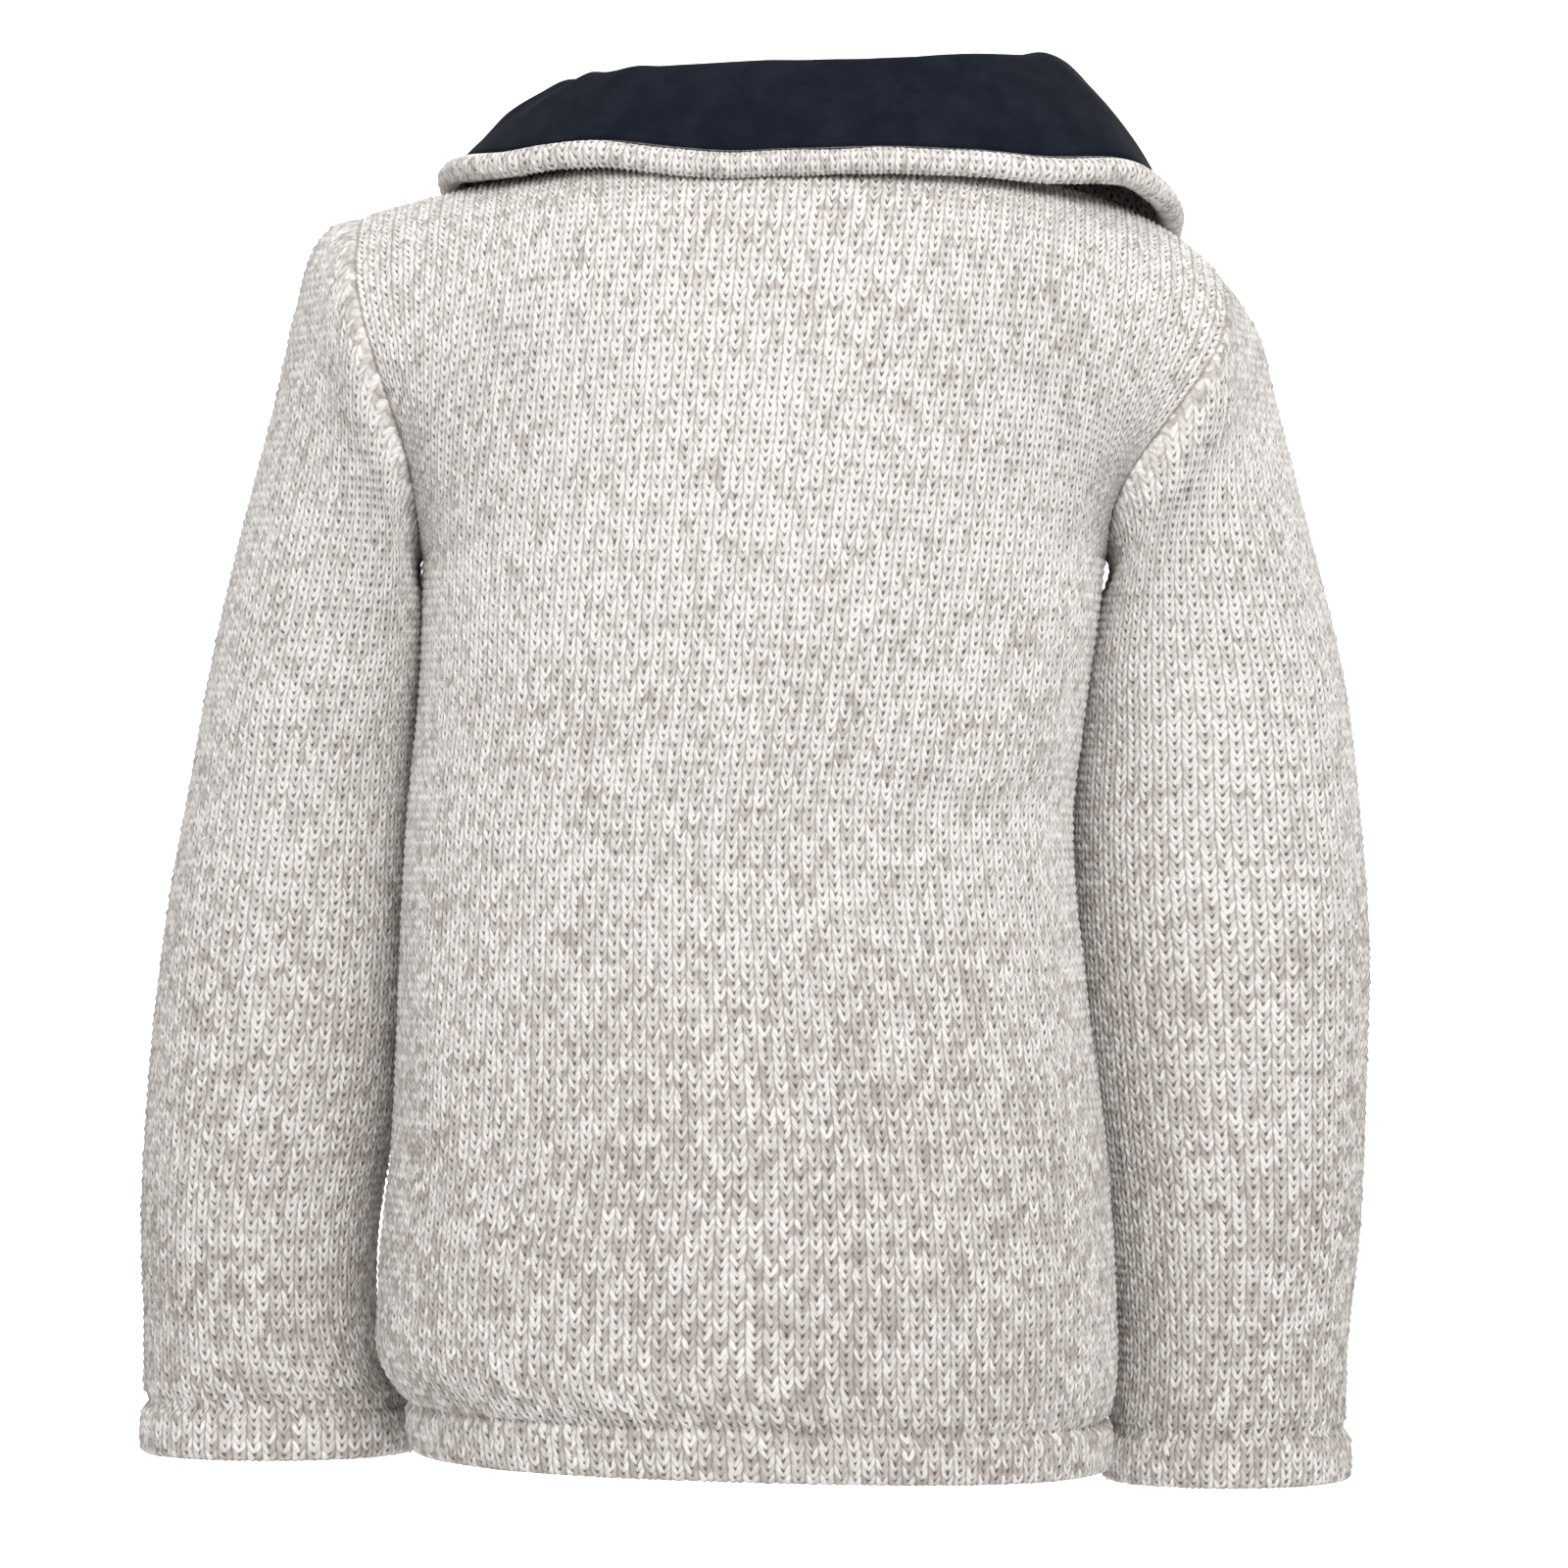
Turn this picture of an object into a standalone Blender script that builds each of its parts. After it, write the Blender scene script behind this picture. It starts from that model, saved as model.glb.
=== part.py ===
"""Knitted cardigan in its worn form, hollow, with a turned-down collar.

Millimetres in the tables, metres in the model. +Z is up, the back faces +Y, the wearer's left
is +X, and the origin is at the base of the neck, where the wearer carries it.
"""

import math

import bmesh
import bpy
import numpy as np
from mathutils import Matrix, Vector

MM = 0.001

# Walls and seams
WALL = 4.0
HEM_WALL = 7.0
SEAM = 0.3
NECK_GAP = 0.9
COLLAR_KNIT = 3.0
COLLAR_FLEECE = 2.2

# Levels down the body
UNDERARM_Z = -201.0
HEM_GROOVE_Z = -659.0
HEM_Z = -687.0
HEM_SLOPE = 5.0
GROOVE_DEPTH = 2.6

# Torso sections: level, side edges, front and back, and how square the section is
TORSO_COLUMNS = ("z", "left", "right", "front", "back", "square")
TORSO_ROWS = (
    (-201, 189, -178, -130, 126, 2.35),
    (-270, 191, -169, -130, 122, 2.35),
    (-345, 198, -161, -127, 117, 2.35),
    (-430, 202, -168, -126, 117, 2.40),
    (-520, 206, -179, -128, 123, 2.45),
    (-600, 213, -184, -131, 129, 2.50),
    (-640, 211, -184, -132, 130, 2.50),
    (-659, 199, -181, -129, 128, 2.50),
    (-687, 194, -180, -128, 128, 2.50),
)

# Neckline and collar around the neck, in turns from the centre back: radii from the neck's
# axis and heights of the neck seam, the collar's fold and its outer edge
NECK_X = -14.0
NECK_Y = -15.0
COLLAR_COLUMNS = ("turn", "seam_r", "seam_z", "fold_r", "fold_z", "edge_r", "edge_z")
COLLAR_ROWS = (
    (-180, 80, -72, 86, -42, 126, -108),
    (-150, 92, -50, 104, -18, 152, -77),
    (-120, 110, -12, 123, 24, 182, -24),
    (-90, 118, 8, 127, 50, 189, 5),
    (-60, 104, 6, 122, 55, 174, 4),
    (-30, 90, 1, 100, 57, 138, 1),
    (0, 85, -1, 84, 60, 122, 1),
    (30, 90, 0, 102, 60, 141, 1),
    (60, 104, 3, 130, 65, 182, -1),
    (90, 118, 2, 141, 66, 201, -15),
    (120, 110, -16, 133, 35, 196, -49),
    (150, 92, -51, 106, -16, 158, -88),
    (180, 80, -72, 86, -42, 126, -112),
)
COLLAR_SPREAD = 18.0
FOLD_RADIUS = 5.0
ROLL_GAP = 1.1
FALL_BOW = 3.0
COLLAR_STACK = COLLAR_KNIT + SEAM + COLLAR_FLEECE
EDGE_ROLL_RADIUS = 6.8

# Shoulder ends, where the shoulder seam meets the armhole
SHOULDER_END = {1: (222, -2, -17), -1: (-241, -2, -50)}
SHOULDER_BOW = {1: 3.0, -1: 13.0}
ARMHOLE_DEPTH = 84.0
CHEST_DEPTH = 119.0
# How squarely the panels turn over towards the neck, and how far the corner where the shoulder
# meets the neck is spread below the seam
BACK_SQUARE = 2.4
FRONT_SQUARE = 1.1
CORNER_SPREAD = 0.35

# Sleeve rings from armhole to cuff: outer and inner edges as seen from behind, and depths
SLEEVE_COLUMNS = ("outer_x", "outer_z", "inner_x", "inner_z", "mid_y", "half_y")
LEFT_SLEEVE_ROWS = (
    (222, -17, 189, -201, 0, 84),
    (238.7, -22, 192.0, -206, -2, 83),
    (250.7, -38, 192.5, -215, -4, 82),
    (259.5, -70, 192.4, -227, -8, 80),
    (270.5, -117, 192.0, -245, -14, 77),
    (287.8, -180, 191.7, -270, -22, 73),
    (305.0, -249, 194.5, -305, -31, 69),
    (320.0, -325, 197.2, -352, -41, 66),
    (334.0, -400, 198.6, -412, -50, 63),
    (343.5, -480, 204.5, -482, -55, 60),
    (348.3, -560, 217.5, -560, -58, 57),
    (346.8, -617, 221.0, -617, -58, 54),
    (347.0, -648, 215.0, -648, -57, 53),
    (346.5, -660, 209.0, -660, -57, 52),
    (347.5, -691.5, 206.5, -691.5, -57, 53),
)
RIGHT_SLEEVE_ROWS = (
    (-241, -50, -178, -201, 0, 84),
    (-249.8, -60, -181.5, -206, -2, 83),
    (-262.8, -83, -182.0, -214, -4, 82),
    (-271.0, -115, -180.8, -225, -8, 80),
    (-283.0, -160, -176.6, -243, -14, 77),
    (-296.8, -210, -171.6, -268, -22, 73),
    (-311.0, -268, -167.0, -300, -31, 69),
    (-320.0, -335, -161.2, -350, -41, 66),
    (-326.5, -410, -163.8, -415, -50, 63),
    (-325.6, -480, -170.5, -482, -55, 60),
    (-322.8, -560, -180.5, -560, -58, 57),
    (-315.8, -627, -186.5, -627, -58, 54),
    (-314.5, -663, -185.0, -663, -57, 53),
    (-315.0, -676, -183.0, -676, -57, 52),
    (-315.4, -706.5, -182.0, -706.5, -57, 53),
)
CUFF_HEIGHT = 31.0

# A direction that no seam runs square to, which orders the two ends of an edge
RIM_ORDER = Vector((0.31, 0.17, 0.93))

# Mesh counts
SHOULDER_SPANS = 7
NECK_SPANS = 14
UPPER_SPANS = 11
LOWER_SPANS = 12
STAND_SPANS = 4
FOLD_SPANS = 5
FALL_SPANS = 5

# Front closure
BAND_FROM = 1 + 6 / 7
BAND_TOP = 1.9
BAND_WALL = 3.5
BUTTON_COUNT = 6
BUTTON_RADIUS = 11.5
BUTTON_THICK = 4.2
BUTTON_TOP_Z = -112.0
BUTTON_LOW_Z = -622.0

KNIT_COLOUR = (0.60, 0.56, 0.52, 1.0)
FLEECE_COLOUR = (0.018, 0.022, 0.034, 1.0)
BUTTON_COLOUR = (0.12, 0.075, 0.045, 1.0)


def column(rows, names, name):
    """One named column of a table."""
    return np.array([row[names.index(name)] for row in rows], float)


def smooth(at, knots, values):
    """A smooth curve through a table's values, with slopes from the neighbouring rows."""
    order = np.argsort(knots)
    knots = knots[order]
    values = values[order]
    slopes = np.gradient(values, knots)
    at = np.clip(np.asarray(at, float), knots[0], knots[-1])
    k = np.clip(np.searchsorted(knots, at, side="right") - 1, 0, len(knots) - 2)
    span = knots[k + 1] - knots[k]
    t = (at - knots[k]) / span
    rise = values[k] * (1 + 2 * t) * (1 - t) ** 2 + values[k + 1] * t * t * (3 - 2 * t)
    return rise + span * (slopes[k] * t * (1 - t) ** 2 - slopes[k + 1] * t * t * (1 - t))


def ease(t):
    """A soft step from 0 to 1."""
    t = np.clip(t, 0.0, 1.0)
    return t * t * (3 - 2 * t)


def unit(vectors):
    """Vectors of length one."""
    return vectors / np.maximum(np.linalg.norm(vectors, axis=-1, keepdims=True), 1e-9)


def torso(angle, z):
    """The torso's outer surface: angle from the left side over the back, and level."""
    level = column(TORSO_ROWS, TORSO_COLUMNS, "z")
    sized = {name: smooth(z, level, column(TORSO_ROWS, TORSO_COLUMNS, name)) for name in TORSO_COLUMNS}
    power = 2 / sized["square"]
    half_x = (sized["left"] - sized["right"]) / 2
    mid_x = (sized["left"] + sized["right"]) / 2
    depth = np.where(np.sin(angle) > 0, sized["back"], -sized["front"])
    x = mid_x + half_x * np.sign(np.cos(angle)) * np.abs(np.cos(angle)) ** power
    y = np.sign(np.sin(angle)) * depth * np.abs(np.sin(angle)) ** power
    drop = HEM_SLOPE * ease((UNDERARM_Z - z) / (UNDERARM_Z - HEM_Z)) * x / half_x
    return np.stack([x, y, z + drop], -1)


def hem_relief(height, band):
    """How far a turned-up hem's stitch line sinks and its band stands out, above its edge."""
    groove = -GROOVE_DEPTH * np.exp(-(((height - band) / 3.2) ** 2))
    return groove + 1.2 * ease((band - height) / 8.0) - 2.4 * ease((5.0 - height) / 5.0)


def spaced_angles(start, stop, share):
    """Angles that divide the underarm section into the given shares of its length."""
    fine = np.linspace(start, stop, 721)
    path = torso(fine, np.full_like(fine, UNDERARM_Z))
    run = np.concatenate([[0], np.cumsum(np.linalg.norm(np.diff(path, axis=0), axis=1))])
    return np.interp(np.asarray(share) * run[-1], run, fine)


def neckline(turn, kind):
    """A point of the neck seam, the collar's fold or its edge, by its turn in degrees."""
    turns = column(COLLAR_ROWS, COLLAR_COLUMNS, "turn")
    radius = smooth(turn, turns, column(COLLAR_ROWS, COLLAR_COLUMNS, kind + "_r"))
    height = smooth(turn, turns, column(COLLAR_ROWS, COLLAR_COLUMNS, kind + "_z"))
    angle = np.radians(90 + np.asarray(turn))
    return np.stack([NECK_X + radius * np.cos(angle), NECK_Y + radius * np.sin(angle), height], -1)


def top_edge(side, back, along):
    """The panel's top boundary for one side: 0 at the armhole, 1 at the neck, 2 at the centre."""
    turn_side = -90.0 if side > 0 else 90.0
    turn_mid = 0.0 if back else 2 * turn_side
    neck_end = neckline(np.array(turn_side), "seam")
    start = np.array(SHOULDER_END[side], float)
    share = np.clip(along, 0, 1)
    seam = start + (neck_end - start) * share[..., None]
    seam[..., 2] += SHOULDER_BOW[side] * np.sin(math.pi * share**0.7)
    neck = neckline(turn_side + (turn_mid - turn_side) * np.clip(along - 1, 0, 1), "seam")
    return np.where((along <= 1)[..., None], seam, neck)


def soft_top(side, back, along):
    """The top boundary with its corner at the neck's side spread out."""
    reach = CORNER_SPREAD * np.minimum(1, np.minimum(along, 2 - along) / CORNER_SPREAD)
    steps = (-1, -0.5, 0, 0.5, 1)
    return sum(top_edge(side, back, along + step * reach) for step in steps) / len(steps)


def panel(side, back, along, level):
    """A body panel's outer surface for one side.

    along runs 0 at the side seam, 1 below the neck's side, 2 at the centre;
    level runs 0 at the hem, 1 at the underarm, 2 at the shoulder and neck.
    """
    facing = 1 if back else -1
    start = 0.0 if side > 0 else math.pi
    sweep = spaced_angles(start, start + side * facing * math.pi / 2, along / 2)
    lower_z = HEM_Z + (UNDERARM_Z - HEM_Z) * np.clip(level, 0, 1)
    lower = torso(sweep, lower_z)
    outward = unit(lower * [1 / 190.0**2, 1 / 128.0**2, 0])
    lower = lower + outward * hem_relief(lower_z - HEM_Z, HEM_GROOVE_Z - HEM_Z)[..., None]
    base = torso(sweep, np.full_like(lower_z, UNDERARM_Z))
    rise = np.clip(level - 1, 0, 1)
    rise = rise**1.5 / (rise**1.5 + (1 - rise) ** 1.5)
    soft = soft_top(side, back, along)
    top = soft + (top_edge(side, back, along) - soft) * ease((rise - 0.55) / 0.45)[..., None]
    inward = ease(along / 1.1)
    power = 2 / (2.0 + inward * (BACK_SQUARE if back else FRONT_SQUARE))
    climb = np.sin(rise * math.pi / 2) ** power
    fold = np.clip(np.cos(rise * math.pi / 2), 0, 1) ** power
    depth = ARMHOLE_DEPTH + (CHEST_DEPTH - ARMHOLE_DEPTH) * np.sin(along * math.pi / 4)
    swell = depth - facing * (top[..., 1] * 0.14 + base[..., 1] * 0.86)
    shift = ease((climb - 0.08) / 0.8) * (1 - inward) + climb * inward
    x = base[..., 0] + (top[..., 0] - base[..., 0]) * shift
    y = top[..., 1] + (base[..., 1] - top[..., 1]) * fold + facing * swell * np.sin(math.pi * rise**0.68)
    z = base[..., 2] + (top[..., 2] - base[..., 2]) * climb
    upper = np.stack([x, y, z], -1)
    return np.where((level <= 1)[..., None], lower, upper)


def sleeve(side, around, along):
    """A sleeve's outer surface.

    around runs from the underarm over the back to the shoulder (1) and down the front (2);
    along runs over the table's rows, from 0 at the armhole.
    """
    rows = LEFT_SLEEVE_ROWS if side > 0 else RIGHT_SLEEVE_ROWS
    knots = np.arange(len(rows), dtype=float)
    sized = {name: smooth(along, knots, column(rows, SLEEVE_COLUMNS, name)) for name in SLEEVE_COLUMNS}
    angle = np.asarray(around) * math.pi
    half_x = (sized["outer_x"] - sized["inner_x"]) / 2
    half_z = (sized["outer_z"] - sized["inner_z"]) / 2
    lean = -np.cos(angle)
    x = sized["inner_x"] + half_x * (1 + lean)
    z = sized["inner_z"] + half_z * (1 + lean)
    y = sized["mid_y"] + sized["half_y"] * np.sin(angle)
    tube = np.stack([x, y, z], -1)
    outer_x, outer_z, inner_x, inner_z, mid_y, half_y = rows[0]
    first = np.stack([
        inner_x + (outer_x - inner_x) / 2 * (1 + lean),
        mid_y + half_y * np.sin(angle),
        inner_z + (outer_z - inner_z) / 2 * (1 + lean),
    ], -1)
    level = np.where(around <= 1, around, 2 - around)
    edge = np.zeros_like(level)
    behind = panel(side, True, edge, 1 + level)
    before = panel(side, False, edge, 1 + level)
    armhole = np.where((around <= 1)[..., None], behind, before)
    keep = 1 - ease(along / 4.0)
    tube = tube + keep[..., None] * (armhole - first)
    height = sized["outer_z"] - half_z - (rows[-1][1] + rows[-1][3]) / 2
    middle = np.stack([sized["outer_x"] - half_x, sized["mid_y"], z], -1)
    return tube + unit(tube - middle) * hem_relief(height, CUFF_HEIGHT)[..., None]


class Sheet:
    """A grid of outer points, in rows and columns, that becomes a wall."""

    def __init__(self, name, grid, thick, ring=False):
        self.name = name
        self.grid = grid
        self.thick = np.broadcast_to(thick, grid.shape[:2])
        self.ring = ring
        self.normal = self.normals()

    def normals(self):
        """Outward normals from the neighbouring points."""
        if self.ring:
            wrapped = np.concatenate([self.grid[:, -1:], self.grid, self.grid[:, :1]], axis=1)
            across = (wrapped[:, 2:] - wrapped[:, :-2]) / 2
        else:
            across = np.gradient(self.grid, axis=1)
        up = np.gradient(self.grid, axis=0)
        return unit(np.cross(across, up))

    def edges(self, row, place):
        """The ways into the sheet from a point on its border, and no way from inside it."""
        rows, cols = self.grid.shape[:2]
        here = self.grid[row, place]
        ways = []
        if row == 0:
            ways.append(self.grid[1, place] - here)
        if row == rows - 1:
            ways.append(self.grid[rows - 2, place] - here)
        if not self.ring and place == 0:
            ways.append(self.grid[row, 1] - here)
        if not self.ring and place == cols - 1:
            ways.append(self.grid[row, cols - 2] - here)
        return [unit(way) for way in ways]


def spot(point):
    """A key that two sheets share where their points coincide."""
    return tuple(int(round(v * 100)) for v in point)


def seam_ways(sheets):
    """For each point that sheets share: the way to the wall's inner face."""
    shared = {}
    for sheet in sheets:
        rows, cols = sheet.grid.shape[:2]
        for row in range(rows):
            for place in range(cols):
                ways = sheet.edges(row, place)
                if ways:
                    entry = (sheet.normal[row, place], ways)
                    shared.setdefault(spot(sheet.grid[row, place]), []).append(entry)
    inner = {}
    corners = {key for key, entries in shared.items() if len(entries) > 2}
    for key, entries in shared.items():
        if len(entries) == 2:
            facing = sum(normal for normal, ways in entries)
            inner[key] = -facing
            if all(len(ways) == 1 for normal, ways in entries):
                flat = [ways[0] - normal * (ways[0] @ normal) for normal, ways in entries]
                inner[key] = -facing - sum(unit(way) for way in flat)
            inner[key] = unit(inner[key])
    for sheet in sheets:
        keys = [spot(point) for point in sheet.grid[0]]
        for place, key in enumerate(keys):
            if key in corners and sheet.name.startswith(("sleeve", "collar")):
                beside = [k for k in (place - 1, place + 1) if sheet.ring or 0 <= k < len(keys)]
                beside = [keys[k % len(keys)] for k in beside]
                inner[key] = unit(sum(inner[k] for k in beside if k not in corners))
    return inner, corners


def walled(sheet, inner_ways, corners, gap=SEAM):
    """A sheet's outer and inner points, parted from its neighbours at the seams."""
    outer = sheet.grid.copy()
    inside = sheet.grid - sheet.normal * sheet.thick[..., None]
    rows, cols = sheet.grid.shape[:2]
    for row in range(rows):
        for place in range(cols):
            ways = sheet.edges(row, place)
            way_in = inner_ways.get(spot(sheet.grid[row, place]))
            if not ways or way_in is None:
                continue
            lean = max(0.62, -float(way_in @ sheet.normal[row, place]))
            inside[row, place] = sheet.grid[row, place] + way_in * sheet.thick[row, place] / lean
            if spot(sheet.grid[row, place]) in corners:
                ways = ways + [-sheet.normal[row, place]]
            for way in ways:
                clear = unit(way - way_in * (way @ way_in)) * gap / 2
                outer[row, place] += clear
                inside[row, place] += clear
    return outer, inside


def rim(mesh, skins, start, end):
    """Two triangles of a wall's edge, split the same way in both sheets at a seam."""
    ahead = [skins[0][row][place].co @ RIM_ORDER for row, place in (start, end)]
    if ahead[0] > ahead[1]:
        start, end = end, start
    outer_low, outer_high = skins[0][start[0]][start[1]], skins[0][end[0]][end[1]]
    inner_low, inner_high = skins[1][start[0]][start[1]], skins[1][end[0]][end[1]]
    mesh.faces.new((outer_low, outer_high, inner_high))
    mesh.faces.new((outer_low, inner_high, inner_low))


def shell_mesh(name, outer, inside, ring=False):
    """A closed wall between two grids of points, given in millimetres."""
    rows, cols = outer.shape[:2]
    mesh = bmesh.new()
    skins = [[[mesh.verts.new(point * MM) for point in line] for line in skin] for skin in (outer, inside)]
    spans = cols if ring else cols - 1
    for row in range(rows - 1):
        for place in range(spans):
            follow = (place + 1) % cols
            for skin in skins:
                low, high = skin[row][place], skin[row + 1][follow]
                mesh.faces.new((low, skin[row][follow], high))
                mesh.faces.new((low, high, skin[row + 1][place]))
    rims = [((row, place), (row, (place + 1) % cols)) for row in (0, rows - 1) for place in range(spans)]
    if not ring:
        rims += [((row, place), (row + 1, place)) for row in range(rows - 1) for place in (0, cols - 1)]
    for start, end in rims:
        rim(mesh, skins, start, end)
    bmesh.ops.recalc_face_normals(mesh, faces=mesh.faces)
    data = bpy.data.meshes.new(name)
    mesh.to_mesh(data)
    mesh.free()
    return data


def material(name, colour, roughness):
    """One part's own material."""
    made = bpy.data.materials.new(name)
    made.use_nodes = True
    shader = made.node_tree.nodes["Principled BSDF"]
    shader.inputs["Base Color"].default_value = colour
    shader.inputs["Roughness"].default_value = roughness
    shader.inputs["Metallic"].default_value = 0.0
    return made


def place(group, name, data, colour, roughness=0.95):
    """One named object in the garment's collection."""
    made = bpy.data.objects.new(name, data)
    group.objects.link(made)
    data.materials.append(material(name, colour, roughness))
    data.shade_smooth()
    data.set_sharp_from_angle(angle=math.radians(50))
    return made


def body_levels():
    """The rows of a body panel: close at the hem's stitch line, even above it."""
    band = (HEM_GROOVE_Z - HEM_Z) / (UNDERARM_Z - HEM_Z)
    hem = [0.0, 0.008, 0.5 * band, band - 0.012, band, band + 0.012]
    lower = np.linspace(band + 0.05, 1, LOWER_SPANS)
    upper = np.linspace(1, 2, UPPER_SPANS + 1)[1:]
    return np.concatenate([hem, lower, upper])


def body_sheets():
    """The back and the two fronts."""
    levels = body_levels()
    band = (HEM_GROOVE_Z - HEM_Z) / (UNDERARM_Z - HEM_Z)
    thick = np.where(levels < band - 0.006, HEM_WALL, WALL)[:, None]
    shoulder = np.linspace(0, 1, SHOULDER_SPANS + 1)
    half = np.concatenate([shoulder, np.linspace(1, 2, NECK_SPANS // 2 + 1)[1:]])
    grids = {}
    for side in (1, -1):
        for back in (True, False):
            across, up = np.meshgrid(half, levels)
            grids[side, back] = panel(side, back, across, up)
    back_grid = np.concatenate([grids[1, True], grids[-1, True][:, -2::-1]], axis=1)
    sheets = [Sheet("back", back_grid, thick)]
    sheets.append(Sheet("front_left", grids[1, False][:, ::-1], thick))
    sheets.append(Sheet("front_right", grids[-1, False], thick))
    return sheets


def sleeve_sheet(side):
    """One sleeve, a tube from the armhole to the cuff's edge."""
    upper = np.linspace(0, 1, UPPER_SPANS + 1)
    around = np.concatenate([upper, 2 - upper[-2:0:-1]])
    last = len(LEFT_SLEEVE_ROWS) - 1
    along = np.concatenate([np.arange(0, 11.0), [11, 12, 12.6, 12.85, 13, 13.2, 13.6, 13.88, last]])
    across, down = np.meshgrid(around, along)
    grid = sleeve(side, across, down)
    thick = np.where(along > 13.1, HEM_WALL, WALL)[:, None]
    if side < 0:
        grid = grid[:, ::-1]
    return Sheet("sleeve_left" if side > 0 else "sleeve_right", grid, thick, ring=True)


def collar_turns():
    """The collar's columns, which stand on the body panels' own columns."""
    front = np.linspace(1, 2, NECK_SPANS // 2 + 1)[1:] * 90
    back = np.linspace(-90, 90, NECK_SPANS + 1)
    return np.concatenate([-front[::-1], back, front])


def collar_sheet(thick):
    """The collar's knit face, from the neck seam over the fold and down to the edge roll."""
    columns = [collar_profile(turn) for turn in collar_turns()]
    grid = np.array(columns).transpose(1, 0, 2)
    return Sheet("collar_outer", grid, thick)


def around_neck(turn, radius, height, share):
    """A collar point, with the front ends spread apart towards the collar's edge."""
    spread = turn - COLLAR_SPREAD * share * math.copysign((abs(turn) / 180.0) ** 4, turn)
    angle = math.radians(90 + spread)
    return (NECK_X + radius * math.cos(angle), NECK_Y + radius * math.sin(angle), height)


def collar_measures(turn):
    """Radius and height of the neck seam, the fold's centre and the edge roll at one turn."""
    turns = column(COLLAR_ROWS, COLLAR_COLUMNS, "turn")
    measures = [column(COLLAR_ROWS, COLLAR_COLUMNS, name) for name in COLLAR_COLUMNS[1:]]
    sized = [float(smooth(turn, turns, values)) for values in measures]
    seam = np.array(sized[0:2])
    centre = np.array(sized[2:4]) - [0, FOLD_RADIUS + COLLAR_STACK]
    return seam, centre, np.array(sized[4:6])


def collar_profile(turn):
    """The knit face's section at one turn: stand, fold and fall."""
    seam, centre, edge = collar_measures(turn)
    lean = math.atan2(centre[0] - FOLD_RADIUS - seam[0], centre[1] - seam[1])
    fall = unit(edge - centre)
    for _ in range(4):
        under = np.array([fall[1], -fall[0]])
        last = edge - fall * (EDGE_ROLL_RADIUS + ROLL_GAP) + under * COLLAR_STACK / 2
        tilt = math.atan2(last[0] - centre[0], centre[1] - last[1])
        bends = np.linspace(math.pi - lean, tilt, FOLD_SPANS + 1)
        arc = [centre + FOLD_RADIUS * np.array([math.cos(bend), math.sin(bend)]) for bend in bends]
        lower = []
        for share in np.linspace(0, 1, FALL_SPANS + 1)[1:]:
            bow = under * -FALL_BOW * math.sin(math.pi * share)
            lower.append(arc[-1] + (last - arc[-1]) * share + bow)
        fall = unit(lower[-1] - lower[-2])
    stand = [seam + (arc[0] - seam) * share for share in np.linspace(0, 1, STAND_SPANS + 1)[:-1]]
    section = stand + arc + lower
    shares = np.linspace(0, 1, len(section))
    return [around_neck(turn, point[0], point[1], share) for point, share in zip(section, shares)]


def edge_roll(group):
    """The knit roll that wraps the collar's edge, a tube along it."""
    turns = collar_turns()
    curve = bpy.data.curves.new("collar_edge", "CURVE")
    curve.dimensions = "3D"
    curve.bevel_depth = EDGE_ROLL_RADIUS * MM
    curve.bevel_resolution = 2
    curve.use_fill_caps = True
    line = curve.splines.new("POLY")
    line.points.add(len(turns) - 1)
    for turn, point in zip(turns, line.points):
        edge = collar_measures(turn)[2]
        point.co = (*(np.array(around_neck(turn, edge[0], edge[1], 1.0)) * MM), 1.0)
    made = bpy.data.objects.new("collar_edge", curve)
    group.objects.link(made)
    curve.materials.append(material("collar_edge", KNIT_COLOUR, 0.95))
    return made


def band_sheet():
    """The button band, raised from the fronts' own points either side of the centre."""
    along = np.array([BAND_FROM, 2.0])
    levels = body_levels()
    levels = np.append(levels[levels < BAND_TOP - 0.02], BAND_TOP)
    across, up = np.meshgrid(along, levels)
    left = panel(1, False, across, up)
    right = panel(-1, False, across, up)
    return Sheet("button_band", np.concatenate([right[:, :1], left[:, ::-1]], axis=1), BAND_WALL)


def button(group, number, spot_on_band, normal):
    """A four-hole button, flat on the band."""
    mesh = bmesh.new()
    sides = 20
    bmesh.ops.create_cone(
        mesh, cap_ends=True, segments=sides, radius1=BUTTON_RADIUS * MM, radius2=BUTTON_RADIUS * MM,
        depth=BUTTON_THICK * MM,
    )
    rims = [edge for edge in mesh.edges if abs(edge.verts[0].co.z - edge.verts[1].co.z) < 1e-6]
    bmesh.ops.bevel(
        mesh, geom=rims, offset=1.2 * MM, segments=1, profile=0.5, affect="EDGES", material=-1,
    )
    dish = [face for face in mesh.faces if face.normal.z > 0.9 and face.calc_area() > 1e-4]
    bmesh.ops.inset_region(mesh, faces=dish, thickness=2.2 * MM, depth=0)
    bmesh.ops.inset_region(mesh, faces=dish, thickness=0.8 * MM, depth=-0.9 * MM)
    data = bpy.data.meshes.new(f"button_{number}")
    mesh.to_mesh(data)
    mesh.free()
    made = place(group, f"button_{number}", data, BUTTON_COLOUR, 0.4)
    turn = normal.to_track_quat("Z", "Y").to_matrix().to_4x4()
    stand = spot_on_band + normal * (BUTTON_THICK / 2 + SEAM + 0.2) * MM
    made.matrix_world = Matrix.Translation(stand) @ turn
    return made


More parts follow.
